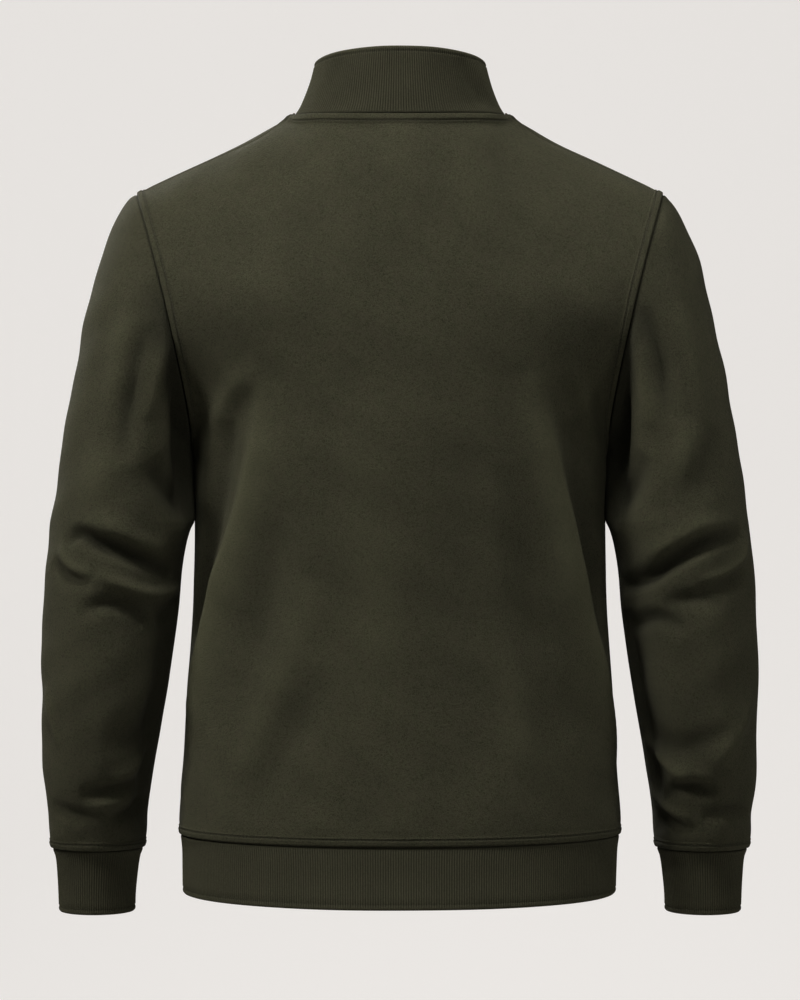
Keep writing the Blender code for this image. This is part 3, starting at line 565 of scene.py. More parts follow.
def add_cloth(name, points, normals, outer, inner, closed, material, keep=None, painted_shade_and_highlight=None):
    """Closed wall of cloth on a grid.

    Its face lies out by outer, and its back by inner less the thickness of the cloth.
    """
    rows, columns = points.shape[:2]
    face = (points + normals * outer[..., None]).reshape(-1, 3)
    back = (points + normals * (inner[..., None] - CLOTH_THICKNESS)).reshape(-1, 3)
    row, column = np.mgrid[0:rows - 1, 0:columns if closed else columns - 1]
    beside = (column + 1) % columns
    quads = np.stack([row * columns + column, row * columns + beside,
                      (row + 1) * columns + beside, (row + 1) * columns + column], axis=-1)
    if keep is not None:
        quads = quads[keep[:, :quads.shape[1]]]
    quads = quads.reshape(-1, 4)
    edges = np.concatenate([quads[:, [i, (i + 1) % 4]] for i in range(4)])
    size = rows * columns
    codes = edges[:, 0] * size + edges[:, 1]
    outline = edges[~np.isin(codes, edges[:, 1] * size + edges[:, 0])]
    start, end = outline[:, 0], outline[:, 1]
    rim = np.stack([end, start, start + size, end + size], axis=-1)
    faces = np.concatenate([quads, quads[:, ::-1] + size, rim])
    used = np.unique(faces)
    order = np.zeros(2 * size, int)
    order[used] = np.arange(len(used))
    thing = add_mesh(name, np.concatenate([face, back])[used], order[faces].tolist(), material)
    thing.data.set_sharp_from_angle(angle=math.radians(SHARP_ANGLE))
    # Painted shade and painted highlight per point: above 0 the material darkens the cloth's colour,
    # below 0 it lightens it
    if painted_shade_and_highlight is not None:
        values = np.tile(painted_shade_and_highlight.reshape(-1), 2)[used]
        attribute = thing.data.attributes.new("painted_shade_and_highlight", "FLOAT", "POINT")
        attribute.data.foreach_set("value", values.astype(np.float32))
    return thing


# Brushed nap: the mottling and the fine fibres of fleece, from the cloth's own place in space
nap = bpy.data.node_groups.new("Brushed nap", "ShaderNodeTree")
nap.interface.new_socket("Light fibre", in_out="INPUT", socket_type="NodeSocketColor")
nap.interface.new_socket("Dark fibre", in_out="INPUT", socket_type="NodeSocketColor")
nap.interface.new_socket("Warm fibre", in_out="INPUT", socket_type="NodeSocketColor")
nap.interface.new_socket("Colour", in_out="OUTPUT", socket_type="NodeSocketColor")
nap.interface.new_socket("Height", in_out="OUTPUT", socket_type="NodeSocketFloat")
nodes, links = nap.nodes, nap.links
group_in, group_out = nodes.new("NodeGroupInput"), nodes.new("NodeGroupOutput")
coordinates = nodes.new("ShaderNodeTexCoord")


def add_noise(tree, coordinate, scale, detail, roughness, distortion):
    noise = tree.nodes.new("ShaderNodeTexNoise")
    noise.inputs["Scale"].default_value = scale
    noise.inputs["Detail"].default_value = detail
    noise.inputs["Roughness"].default_value = roughness
    noise.inputs["Distortion"].default_value = distortion
    tree.links.new(coordinate, noise.inputs["Vector"])
    return noise.outputs["Fac"]


def add_range(tree, value, low, high, to_low=0.0, to_high=1.0):
    step = tree.nodes.new("ShaderNodeMapRange")
    step.inputs["From Min"].default_value = low
    step.inputs["From Max"].default_value = high
    step.inputs["To Min"].default_value = to_low
    step.inputs["To Max"].default_value = to_high
    tree.links.new(value, step.inputs["Value"])
    return step.outputs["Result"]


def feed(tree, socket, value):
    """Link a socket to another one, or give it a plain value."""
    if isinstance(value, bpy.types.NodeSocket):
        tree.links.new(value, socket)
    else:
        socket.default_value = value


def add_mix(tree, factor, first, second, blend="MIX"):
    """Mix of two colours; each of the three is a socket or a plain value."""
    mix = tree.nodes.new("ShaderNodeMix")
    mix.data_type = "RGBA"
    mix.blend_type = blend
    for index, value in ((0, factor), (6, first), (7, second)):
        feed(tree, mix.inputs[index], value)
    return mix.outputs[2]


def add_math(tree, operation, first, second):
    step = tree.nodes.new("ShaderNodeMath")
    step.operation = operation
    feed(tree, step.inputs[0], first)
    feed(tree, step.inputs[1], second)
    return step.outputs[0]


place = coordinates.outputs["Object"]
fibres = add_noise(nap, place, scale=820.0, detail=4.0, roughness=0.6, distortion=1.2)
fibres = add_range(nap, fibres, 0.40, 0.60)
mottle = add_noise(nap, place, scale=150.0, detail=4.0, roughness=0.6, distortion=0.6)
mottle = add_range(nap, mottle, 0.36, 0.66)
patches = add_noise(nap, place, scale=26.0, detail=3.0, roughness=0.5, distortion=0.0)
patches = add_range(nap, patches, 0.3, 0.7)
fine = add_noise(nap, place, scale=1300.0, detail=3.0, roughness=0.6, distortion=0.8)
tone = add_mix(nap, fibres, group_in.outputs["Dark fibre"], group_in.outputs["Light fibre"])
warm_share = add_math(nap, "MULTIPLY", mottle, 0.34)
tone = add_mix(nap, warm_share, tone, group_in.outputs["Warm fibre"])
shade = add_range(nap, patches, 0.0, 1.0, 0.93, 1.06)
shade_colour = nodes.new("ShaderNodeCombineColor")
for channel in range(3):
    links.new(shade, shade_colour.inputs[channel])
links.new(add_mix(nap, 1.0, tone, shade_colour.outputs[0], "MULTIPLY"), group_out.inputs["Colour"])
fine_share = add_math(nap, "MULTIPLY", fine, 0.45)
links.new(add_math(nap, "ADD", fibres, fine_share), group_out.inputs["Height"])


def make_cloth_material(name, light, dark, warm, bump, depth):
    material = bpy.data.materials.new(name)
    material.use_nodes = True
    tree = material.node_tree
    shader = tree.nodes["Principled BSDF"]
    shader.inputs["Roughness"].default_value = 0.96
    shader.inputs["Specular IOR Level"].default_value = 0.18
    shader.inputs["Sheen Weight"].default_value = 0.09
    shader.inputs["Sheen Roughness"].default_value = 0.55
    shader.inputs["Sheen Tint"].default_value = (0.62, 0.60, 0.38, 1.0)
    group = tree.nodes.new("ShaderNodeGroup")
    group.node_tree = nap
    group.inputs["Light fibre"].default_value = (*light, 1.0)
    group.inputs["Dark fibre"].default_value = (*dark, 1.0)
    group.inputs["Warm fibre"].default_value = (*warm, 1.0)
    colour = group.outputs["Colour"]
    # Painted shade and painted highlight: near black is mixed into the colour where the attribute is
    # above 0, and a brighter olive where it is below 0
    painted_shade_and_highlight = tree.nodes.new("ShaderNodeAttribute")
    painted_shade_and_highlight.attribute_name = "painted_shade_and_highlight"
    painted_shade_share = add_range(tree, painted_shade_and_highlight.outputs["Fac"], 0.0, 1.0, 0.0, 0.7)
    colour = add_mix(tree, painted_shade_share, colour, (0.008, 0.008, 0.005, 1.0))
    raised = add_range(tree, painted_shade_and_highlight.outputs["Fac"], -1.0, 0.0, 0.5, 0.0)
    colour = add_mix(tree, raised, colour, (*(channel * RIDGE_GAIN for channel in light), 1.0))
    tree.links.new(colour, shader.inputs["Base Color"])
    relief = tree.nodes.new("ShaderNodeBump")
    relief.inputs["Strength"].default_value = bump
    relief.inputs["Distance"].default_value = depth * MM
    tree.links.new(group.outputs["Height"], relief.inputs["Height"])
    tree.links.new(relief.outputs["Normal"], shader.inputs["Normal"])
    return material


fleece = make_cloth_material(
    "olive brushed fleece", light=(0.0545, 0.0550, 0.0305), dark=(0.0255, 0.0262, 0.0132),
    warm=(0.058, 0.048, 0.032), bump=0.8, depth=0.65)
thread = make_cloth_material(
    "olive thread", light=(0.060, 0.058, 0.037), dark=(0.044, 0.043, 0.027),
    warm=(0.056, 0.050, 0.034), bump=0.3, depth=0.1)

neck_seam = neck_point(np.linspace(-180.0, 180.0, NECK_SAMPLES))
shoulder_shares = np.linspace(NECK_CORNER_SHARE, 1.0, SHOULDER_SAMPLES)
shoulder_seam = upper_body("back", shoulder_shares, 2.0)
armhole_parts = np.linspace(0.0, 2.0, ARMHOLE_SAMPLES)
armhole_seams = np.concatenate([upper_body(p, s, armhole_parts)
                                for p in ("back", "front") for s in (-1.0, 1.0)])
shoulder_seams = np.concatenate([shoulder_seam, shoulder_seam * (-1, 1, 1)])
cloth_faces = {}

for panel, seed in (("back", 3), ("front", 11)):
    points = panel_grid(panel)
    shares = panel_shares(panel)
    to_neck = distance_to(points, neck_seam)
    to_armhole = distance_to(points, armhole_seams)
    to_shoulder = distance_to(points, shoulder_seams)
    to_top = np.minimum(to_neck, to_shoulder)
    free = fade(to_top, HELD["top"]) * fade(to_armhole, HELD["armhole"])
    hold = 1 - free * fade(points[..., 2] - UNDERARM, HELD["underarm"])
    if panel == "front":
        hold = np.maximum(hold, 1 - fade(np.abs(points[..., 0]) - SLIT_HALF_WIDTH, HELD["slit"]))
    points = relax(points, hold)
    normals = grid_normals(points, False)
    middle = np.argmin(np.abs(shares))
    run = np.linalg.norm(np.diff(points, axis=1), axis=-1)
    across = np.concatenate([np.zeros((len(points), 1)), np.cumsum(run, axis=1)], axis=1)
    across = (across - across[:, [middle]]) * np.sign(shares[-1])
    height = points[..., 2]
    to_hem = height - HEM_SEAM
    to_side = np.minimum(*(np.linalg.norm(points - points[:, [end]], axis=-1) for end in (0, -1)))
    to_side = np.where(height < UNDERARM, to_side, FAR)
    nearest = np.minimum.reduce([to_neck, to_armhole, to_shoulder, to_hem])
    folds = crease_relief(across, height, BODY_CREASES[panel]) * fade(to_side, SIDE_SETTLE)
    folds = (folds + ripple(across, height, seed) * fade(to_side)) * fade(nearest)
    to_neck_welt = to_neck / NECK_WELT_STRETCH
    seams = welt(np.minimum.reduce([to_neck_welt, to_armhole, to_hem]))
    seams = seams + seam_dip(to_shoulder) * (1 - closeness(to_neck, NECK_CLEAR))
    seams = seams + seam_dip(to_side) * np.where(height < UNDERARM, 1.0, 0.0)
    keep = None
    if panel == "front":
        slit_column = len(shares) // 2 - 1
        keep = np.ones((len(points) - 1, len(shares)), bool)
        keep[height[:-1, slit_column] > SLIT_END, slit_column] = False
        to_slit = np.abs(points[..., 0]) - SLIT_HALF_WIDTH
        to_slit = np.where(height > SLIT_END - SLIT_OVERRUN, to_slit, FAR)
        folds = folds * fade(np.maximum(to_slit, 0.0), SLIT_SETTLE)
        seams = seams - SLIT_DIP * closeness(np.maximum(to_slit, 0.0), SLIT_DIP_WIDTH)
        seams = seams - SLIT_STITCH_DIP * closeness(to_slit - STITCH_LINE, SLIT_STITCH_WIDTH)
    # Painted shadow in the seams and under their stitches, painted shade in the fold hollows and
    # painted highlight on the ridges
    shade = seam_shade(np.minimum.reduce([to_neck_welt, to_armhole, to_hem]))
    shade = shade + fold_shade_and_highlight(folds, HOLLOW_SHADE["body"])
    shade = shade + closeness(to_shoulder, SEAM_SHADE_WIDTH)
    thing = add_cloth(f"{panel}_panel_fleece", points, normals, folds + seams, folds, False,
                      fleece, keep, shade)
    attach(thing, "garment")
    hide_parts(f"{panel}_panel")
    cloth_faces[panel] = {"points": points + normals * (folds + seams)[..., None],
                          "normals": normals, "neck": to_neck_welt, "armhole": to_armhole,
                          "hem": to_hem, "height": height}


# ---------------------------------------------------------------- sleeves
# Two set-in fleece sleeves, each closed by one seam under the arm. They are sewn into the armholes,
# hang a little forward, buckle at the elbow and stack up above the cuffs.

CUFF_SEAM = -637.0
CUFF_END = -693.0
BICEP = -350.0
SLEEVE_SECTIONS = (
    # height, centre from the middle, half width, centre forward or back, half depth
    (CUFF_END, 267.3, 33.4, -26.0, 38.0),
    (-679.0, 267.4, 33.7, -26.0, 38.2),
    (-661.0, 267.0, 35.0, -25.7, 39.5),
    (-645.0, 266.6, 36.9, -25.3, 41.5),
    (CUFF_SEAM, 266.5, 39.8, -24.5, 44.5),
    (-626.0, 266.6, 42.8, -22.5, 48.5),
    (-604.0, 266.0, 43.8, -18.0, 52.0),
    (-567.0, 264.9, 48.5, -10.0, 57.0),
    (-532.0, 261.4, 51.4, -3.0, 60.0),
    (-497.0, 258.0, 54.4, 2.0, 62.0),
    (-462.0, 255.2, 57.1, 5.0, 64.0),
    (-427.0, 252.2, 58.8, 6.0, 67.0),
    (-392.0, 249.5, 59.2, 7.0, 70.0),
    (-368.0, 246.0, 59.8, 8.0, 72.0),
    (BICEP, 242.5, 61.7, 8.0, 74.0),
)
CAP_LEAN_UNDERARM = np.array((8.0, 0.0, -30.0))
CAP_LEAN_TIP = np.array((116.0, 0.0, -66.0))
CAP_LEAN_SIDE = 15.0
CAP_DROP_UNDERARM = np.array((0.0, 0.0, -60.0))
CAP_DROP_TIP = np.array((29.0, 0.0, -210.0))
CHEST_STEPS = 5
YOKE_STEPS = 4
SLEEVE_RADIUS = 60.0
SLEEVE_COLUMNS = 168
FINE_CUFF = 10.0
FINE_CAP = 0.93
CAP_SETTLE = 8.0
CUFF_SETTLE = 14.0
INNER_SIDE = 20.0           # on each side of the seam under the arm the folds are flattened
INNER_SEAM_DIP = 0.6        # that seam's dip, as a share of the others'
BICEP_FADE = 30.0
UNDERARM_PRESS = 2.2        # the sleeve is pressed against the side of the body below the underarm
PRESS_FADE = 14.0
PRESS_OVERLAP = 8.0         # the press ends this far below the bicep
# Painted shadow on the sleeve between arm and body, set by these heights, reaches and strengths
PACKED_TOP = -120.0         # light hardly reaches the cloth that is packed between arm and body
PACKED_TOP_FADE = 90.0
PACKED_END = -345.0
PACKED_END_FADE = 60.0
PACKED_SHADE = 1.25
PACKED_REACH = 17.0
PACKED_FADE = 0.1           # below the end of the contact the shade weakens and spreads
PACKED_SPREAD = 1.9

# Round a sleeve the place is an angle in degrees: 0 at its outer edge, 90 at the back, 180 inside
SLEEVE_CREASES = {
    "left": (
        # places along the fold as angle and height, left half width, right half width, rise
        (((46, -369), (63, -361), (81, -369), (98, -375), (115, -382), (150, -395)), 8.0, 5.5, -12.5),
        (((50, -350), (80, -354), (112, -366), (140, -376)), 9.0, 9.0, 4.0),
        (((40, -370), (56, -387), (78, -396)), 5.0, 5.0, 4.0),
        (((32, -384), (54, -396), (78, -404)), 6.0, 6.0, -5.0),
        (((82, -393), (101, -402), (130, -411), (172, -406)), 6.0, 6.0, 6.5),
        (((68, -428), (92, -420), (114, -427), (126, -440)), 8.0, 6.0, -5.5),
        (((136, -436), (158, -427), (184, -418)), 8.0, 8.0, -7.0),
        (((162, -512), (132, -534), (98, -543)), 10.0, 14.0, -4.0),
        (((168, -538), (140, -560), (108, -574)), 8.0, 8.0, 5.0),
        (((76, -586), (108, -582), (142, -576)), 6.0, 6.0, -6.5),
        (((80, -596), (110, -593), (138, -588)), 6.0, 6.0, 3.0),
        (((108, -608), (140, -602), (176, -588)), 6.0, 6.0, -5.5),
        (((38, -596), (66, -603), (98, -606)), 6.0, 6.0, -4.5),
        (((26, -490), (38, -515), (52, -545)), 6.0, 6.0, 3.0),
        (((160, -430), (158, -500), (156, -570), (150, -622)), 12.0, 16.0, -8.0),
        (((52, -150), (62, -205), (70, -270)), 9.0, 9.0, 3.5),
        (((88, -158), (100, -205), (106, -262)), 8.0, 8.0, 5.5),
        (((74, -180), (84, -240), (90, -300)), 8.0, 9.0, -5.5),
        (((104, -176), (124, -206), (144, -246), (156, -300), (160, -356)), 16.0, 16.0, -15.0),
        (((60, -285), (70, -320), (66, -345)), 14.0, 14.0, 3.0),
        (((112, -296), (132, -322), (156, -340)), 12.0, 12.0, -7.0),
        (((-50, -362), (-90, -372), (-140, -392)), 8.0, 8.0, -9.0),
        (((-60, -385), (-96, -396), (-150, -408)), 9.0, 9.0, 5.0),
        (((-70, -410), (-100, -424), (-130, -430)), 8.0, 8.0, -4.0),
        (((-60, -580), (-100, -590), (-140, -584)), 7.0, 7.0, -5.0),
        (((-40, -604), (-80, -608), (-120, -600)), 6.0, 6.0, -4.0),
        (((-106, -186), (-130, -236), (-148, -300)), 16.0, 10.0, -15.5),
    ),
    "right": (
        (((36, -361), (67, -366), (89, -375), (110, -387), (129, -398), (168, -408)), 8.0, 5.5, -12.5),
        (((44, -350), (76, -354), (104, -368), (130, -384)), 9.0, 9.0, 4.0),
        (((28, -358), (37, -378), (60, -393), (84, -402)), 5.0, 5.0, 4.0),
        (((38, -392), (62, -403), (88, -409)), 6.0, 6.0, -5.0),
        (((118, -420), (89, -415), (64, -421)), 7.0, 7.0, -4.5),
        (((160, -440), (123, -432), (98, -443)), 7.0, 7.0, -5.5),
        (((154, -530), (120, -543), (98, -541), (66, -526)), 10.0, 12.0, -4.0),
        (((172, -540), (140, -556), (108, -571)), 6.0, 6.0, 5.0),
        (((88, -562), (55, -532), (30, -500)), 9.0, 9.0, 3.5),
        (((144, -586), (110, -580), (78, -586)), 6.0, 6.0, -7.0),
        (((136, -570), (108, -567), (84, -570)), 8.0, 8.0, 3.0),
        (((174, -586), (138, -599), (108, -607)), 5.0, 5.0, 4.0),
        (((158, -602), (126, -613), (100, -618)), 5.0, 5.0, -4.0),
        (((98, -604), (66, -601), (34, -603)), 6.0, 6.0, -5.0),
        (((160, -425), (158, -500), (156, -570), (152, -622)), 12.0, 15.0, -7.0),
        (((48, -160), (52, -215), (56, -270)), 8.0, 8.0, 3.5),
        (((84, -150), (94, -195), (104, -240), (108, -270)), 8.0, 8.0, 6.0),
        (((72, -165), (80, -215), (90, -265)), 7.0, 8.0, -6.0),
        (((100, -172), (120, -198), (142, -240), (156, -300), (160, -356)), 16.0, 16.0, -15.0),
        (((44, -270), (66, -305), (92, -340)), 13.0, 13.0, -3.5),
        (((66, -262), (84, -300), (104, -335)), 13.0, 13.0, 3.0),
        (((116, -292), (134, -320), (158, -338)), 12.0, 12.0, -7.0),
        (((-46, -358), (-92, -370), (-136, -394)), 8.0, 8.0, -9.0),
        (((-56, -382), (-92, -396), (-146, -410)), 9.0, 9.0, 5.0),
        (((-76, -412), (-104, -420), (-136, -432)), 8.0, 8.0, -4.0),
        (((-64, -584), (-96, -592), (-138, -586)), 7.0, 7.0, -5.0),
        (((-44, -606), (-84, -604), (-124, -598)), 6.0, 6.0, -4.0),
        (((-104, -188), (-128, -238), (-146, -300)), 16.0, 10.0, -15.5),
    ),
}


def sleeve_point(angle, height):
    angle, height = np.broadcast_arrays(np.asarray(angle, float), np.asarray(height, float))
    sizes = read_table(SLEEVE_SECTIONS, height)
    turn = np.radians(angle)
    return stack(sizes[..., 0] + sizes[..., 1] * np.cos(turn),
                 sizes[..., 2] + sizes[..., 3] * np.sin(turn), height)


def armhole_point(angle):
    """Points of the left armhole, by the angle round the sleeve that is sewn to them."""
    from_underarm = np.abs(180.0 - np.abs((angle + 180.0) % 360.0 - 180.0))
    step = from_underarm / 180.0 * (CHEST_STEPS + YOKE_STEPS)
    part = np.interp(step, (0, CHEST_STEPS, CHEST_STEPS + YOKE_STEPS), (0, 1, 2))
    behind = (np.sin(np.radians(angle)) > 0)[..., None]
    return np.where(behind, upper_body("back", 1.0, part), upper_body("front", 1.0, part))


def cap_point(angle, t):
    """Points of the sleeve's cap; t runs from 0 at the armhole to 1 at the bicep."""
    angle, t = np.broadcast_arrays(np.asarray(angle, float), np.asarray(t, float))
    turn = np.radians(angle)
    outer = ((1 + np.cos(turn)) / 2)[..., None]
    leave = CAP_LEAN_UNDERARM + (CAP_LEAN_TIP - CAP_LEAN_UNDERARM) * outer
    leave[..., 1] += CAP_LEAN_SIDE * np.sin(turn)
    drop = CAP_DROP_UNDERARM + (CAP_DROP_TIP - CAP_DROP_UNDERARM) * outer
    return curve(armhole_point(angle), sleeve_point(angle, BICEP), leave, drop, t[..., None])


def on_side(grid, side):
    """A grid made for the left arm, or its mirror image for the right, still anticlockwise."""
    if side == "left":
        return grid
    mirrored = np.concatenate([grid[:, :1], grid[:, :0:-1]], axis=1)
    return mirrored * (-1, 1, 1) if grid.ndim == 3 else mirrored


sleeve_angles = 180.0 + np.arange(SLEEVE_COLUMNS) * 360.0 / SLEEVE_COLUMNS
degrees = (sleeve_angles + 180.0) % 360.0 - 180.0
left_armhole = np.concatenate([upper_body(p, 1.0, armhole_parts) for p in ("back", "front")])
fine_cuff_top = CUFF_SEAM + FINE_CUFF

for side, seed in (("left", 21), ("right", 34)):
    heights = spread((CUFF_SEAM, fine_cuff_top, 14), (fine_cuff_top, BICEP, 112))[:-1, None]
    parts = 1.0 - spread((0.0, FINE_CAP, 52), (FINE_CAP, 1.0, 12))[:, None]
    points = np.concatenate([sleeve_point(sleeve_angles[None, :], heights),
                             cap_point(sleeve_angles[None, :], parts)])
    normals = grid_normals(points, True)
    height = points[..., 2]
    across = np.broadcast_to(np.radians(degrees) * SLEEVE_RADIUS, height.shape)
    creases = [([(math.radians(a) * SLEEVE_RADIUS, z) for a, z in places], left, right, rise)
               for places, left, right, rise in SLEEVE_CREASES[side]]
    to_armhole = distance_to(points, left_armhole)
    to_cuff = height - CUFF_SEAM
    from_seam = np.where(np.abs(degrees) > 90, 180 - np.abs(degrees), 180.0)
    to_seam = np.broadcast_to(np.radians(from_seam) * SLEEVE_RADIUS, height.shape)
    folds = crease_relief(across, height, creases) + ripple(across, height, seed) * fade(to_seam)
    folds = folds * np.minimum(fade(to_armhole, CAP_SETTLE), fade(to_cuff, CUFF_SETTLE))
    outside = fade(to_seam, INNER_SIDE)
    folds = folds * (outside + (1 - outside) * fade(BICEP - height, BICEP_FADE))
    pressed = fade(UNDERARM - height, PRESS_FADE) * fade(height - BICEP + PRESS_OVERLAP, PRESS_FADE)
    folds = folds + UNDERARM_PRESS * (1 - outside) * pressed
    seams = welt(to_cuff) + seam_dip(to_armhole) + INNER_SEAM_DIP * seam_dip(to_seam)
    points, normals = on_side(points, side), on_side(normals, side)
    folds, seams = on_side(folds, side), on_side(seams, side)
    # Painted shadow in the cuff and armhole seams and under the cuff's stitches
    shade = seam_shade(to_cuff) + closeness(to_armhole, SEAM_SHADE_WIDTH)
    # Painted shadow on the sleeve where it lies packed against the body: beside the armhole above the
    # underarm, along the inner edge below it, weaker and wider lower down
    near_body = np.where(height > UNDERARM, to_armhole, to_seam)
    below = fade(PACKED_END - height, PACKED_END_FADE)
    packed = fade(PACKED_TOP - height, PACKED_TOP_FADE) * (1 - PACKED_FADE * below)
    reach = PACKED_REACH * (1 + PACKED_SPREAD * below)
    shade = shade + PACKED_SHADE * packed * closeness(near_body, reach)
    # Painted shade in the sleeve's fold hollows and painted highlight on its fold ridges
    shade = on_side(shade, side) + fold_shade_and_highlight(folds, HOLLOW_SHADE["sleeve"])
    thing = add_cloth(f"sleeve_{side}_fleece", points, normals, folds + seams, folds, True, fleece,
                      painted_shade_and_highlight=shade)
    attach(thing, "garment")
    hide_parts(f"sleeve_{side}")
    cloth_faces[f"sleeve_{side}"] = {"points": points + normals * (folds + seams)[..., None],
                                     "normals": normals, "cuff": on_side(to_cuff, side)}


# ---------------------------------------------------------------- rib collar, hem band and cuffs
# Doubled rib knit, cut across so that its ribs run up and down. The collar stands and narrows
# towards its folded top edge. The hem band is one ring and each cuff another, folded at the end
# and stretched a little as they are sewn on.

COLLAR_HALF_WIDTH = 74.5
COLLAR_SIDE = (0.0, -8.0, 53.0)
COLLAR_BACK = (0.0, 57.0, 59.0)
COLLAR_FRONT = (0.0, -74.0, 12.0)
COLLAR_DIP = 1.3
COLLAR_PROFILE = (
    # share of the height, share of the way in from the neck seam to the top edge
    (0.0, 0.0),
    (0.1, 0.21),
    (0.2, 0.36),
    (0.4, 0.57),
    (0.6, 0.74),
    (0.8, 0.88),
    (1.0, 1.0),
)
COLLAR_CREASES = (
    # places as distance round from the centre back and height, half widths, rise
    (((-66, 52), (-74, 30), (-86, 10)), 8.0, 8.0, -2.2),
    (((-88, 50), (-94, 30), (-104, 12)), 9.0, 9.0, 1.4),
    (((62, 50), (72, 30), (80, 12)), 10.0, 10.0, -1.2),
    (((-190, 20), (-196, 0), (-190, -30)), 12.0, 12.0, 1.2),
    (((176, 24), (184, 0), (186, -30)), 12.0, 12.0, -1.4),
)
COLLAR_SETTLE = 12.0
COLLAR_RIPPLE = 0.6         # share of the fleece's unevenness
COLLAR_SAMPLES = 3000
BAND_SAMPLES = 2000
COLLAR_RIBS = 236
HALF_HEM_RIBS = 240
CUFF_RIBS = 112
RIB_COLUMNS = 4
RIB_RELIEF = np.array((0.34, 0.20, -0.34, 0.20))
# Painted shade in the valleys between the ribs, across the four columns of one rib
RIB_PAINTED_SHADE = np.array((0.0, 0.2, 1.0, 0.2))
TURN_LINE = 4.5             # a faint line this far from a folded edge
# Painted shade along that line
TURN_SHADE = 0.35
TURN_DIP = 0.7
TURN_WIDTH = 0.8
EDGE_DROP = 1.0
EDGE_ROUND = 1.6
EDGE_BACK = 0.6             # the band's back is rounded this much as its face is
RIB_CALM = 3.0              # the ribs are flattened this far from an edge or a seam
FINE_EDGE = 6.0
FINE_SEAM = 3.0
HEM_SETTLE = 40.0
HEM_WAVES = (
    # rise, length, start
    (0.5, 46.0, 0.0),
    (0.4, 23.0, 1.0),
)

rib = make_cloth_material(
    "olive rib knit", light=(0.049, 0.048, 0.027), dark=(0.032, 0.032, 0.018),
    warm=(0.046, 0.040, 0.026), bump=0.4, depth=0.3)


def even_places(line, places, count, closed):
    """Places that divide a line into even steps, from a dense sampling of it."""
    run = run_along(line)
    steps = np.linspace(0.0, run[-1], count + 1)[:-1 if closed else None]
    return np.interp(steps, run, places), run[-1]


def band_heights(end, seam, steps):
    """Rows of a band from its folded end up to its seam, closer together beside both."""
    return spread((end, end + FINE_EDGE, 5), (end + FINE_EDGE, seam - FINE_SEAM, steps),
                  (seam - FINE_SEAM, seam, 3))


def rib_values(columns, rows, pattern):
    return np.broadcast_to(np.tile(pattern, columns // RIB_COLUMNS + 1)[:columns], (rows, columns))


def folded_edge(distance):
    """Rounding of the folded edge of a band, and the faint line beside it."""
    edge = -EDGE_DROP * np.clip(1 - distance / EDGE_ROUND, 0.0, 1.0) ** 2
    return edge - TURN_DIP * turn_line(distance)


def turn_line(distance):
    return closeness(distance - TURN_LINE, TURN_WIDTH)


def add_rib(name, node, points, closed, edge_distance, seam_distance, folds):
    normals = grid_normals(points, closed)
    rows, columns = points.shape[:2]
    calm = fade(np.minimum(edge_distance, seam_distance), RIB_CALM)
    ribs = rib_values(columns, rows, RIB_RELIEF) * calm
    # Painted shade in the rib valleys, along the turn line and in the seam
    painted_shade_and_highlight = rib_values(columns, rows, RIB_PAINTED_SHADE) * calm
    painted_shade_and_highlight = painted_shade_and_highlight + TURN_SHADE * turn_line(edge_distance)
    painted_shade_and_highlight = painted_shade_and_highlight + closeness(seam_distance, SEAM_SHADE_WIDTH)
    edge = folded_edge(edge_distance)
    outer = folds + ribs + edge + seam_dip(seam_distance)
    inner = folds - np.minimum(edge, 0.0) * EDGE_BACK
    thing = add_cloth(name, points, normals, outer, inner, closed, rib, painted_shade_and_highlight=painted_shade_and_highlight)
    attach(thing, "garment")
    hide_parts(node)


slit_angle = float(neck_angle("front", slit_share()))
angles = np.linspace(slit_angle, -slit_angle, COLLAR_SAMPLES)
angles, collar_length = even_places(neck_point(angles), angles, COLLAR_RIBS * RIB_COLUMNS, False)
rises = spread((0.0, 0.08, 4), (0.08, 0.86, 16), (0.86, 1.0, 9))[:, None]
inward = read_table(COLLAR_PROFILE, rises)[..., 0]
low = neck_point(angles)[None]
top = egg_point(angles, COLLAR_HALF_WIDTH, COLLAR_SIDE, COLLAR_BACK, COLLAR_FRONT, COLLAR_DIP)[None]
collar = low + (top - low) * stack(inward, inward, rises)
rim = np.linalg.norm(collar - collar[-1:], axis=-1)
foot = np.linalg.norm(collar - collar[:1], axis=-1)
round_neck = np.broadcast_to(np.linspace(collar_length / 2, -collar_length / 2, len(angles)),
                             rim.shape)
folds = crease_relief(round_neck, collar[..., 2], COLLAR_CREASES) * fade(foot, COLLAR_SETTLE)
uneven = ripple(round_neck, collar[..., 2], seed=5) * COLLAR_RIPPLE
folds = folds + uneven * fade(foot, COLLAR_SETTLE)
add_rib("collar_rib", "collar", collar, False, rim, foot, folds)

hem_shares = np.linspace(0.0, 1.0, BAND_SAMPLES)
half_girth = np.concatenate([body_section("front", hem_shares, HEM),
                             body_section("back", hem_shares[::-1], HEM)[1:]])
half_places = np.concatenate([hem_shares, 2.0 - hem_shares[::-1][1:]])
half_places, half_length = even_places(half_girth, half_places, HALF_HEM_RIBS * RIB_COLUMNS, False)
heights = band_heights(HEM, HEM_SEAM, 9)
front_half = half_places <= 1.0
hem = np.where(front_half[None, :, None],
               body_section("front", half_places[None], heights[:, None]),
               body_section("back", (2.0 - half_places)[None], heights[:, None]))
hem = np.concatenate([hem, (hem * (-1, 1, 1))[:, -2:0:-1]], axis=1)
round_hem = np.linspace(-half_length, half_length, hem.shape[1], endpoint=False)[None]
waves = sum(rise * np.sin(round_hem / length + start) for rise, length, start in HEM_WAVES)
folds = waves * np.clip((HEM_SEAM - heights) / HEM_SETTLE, 0.0, 1.0)[:, None]
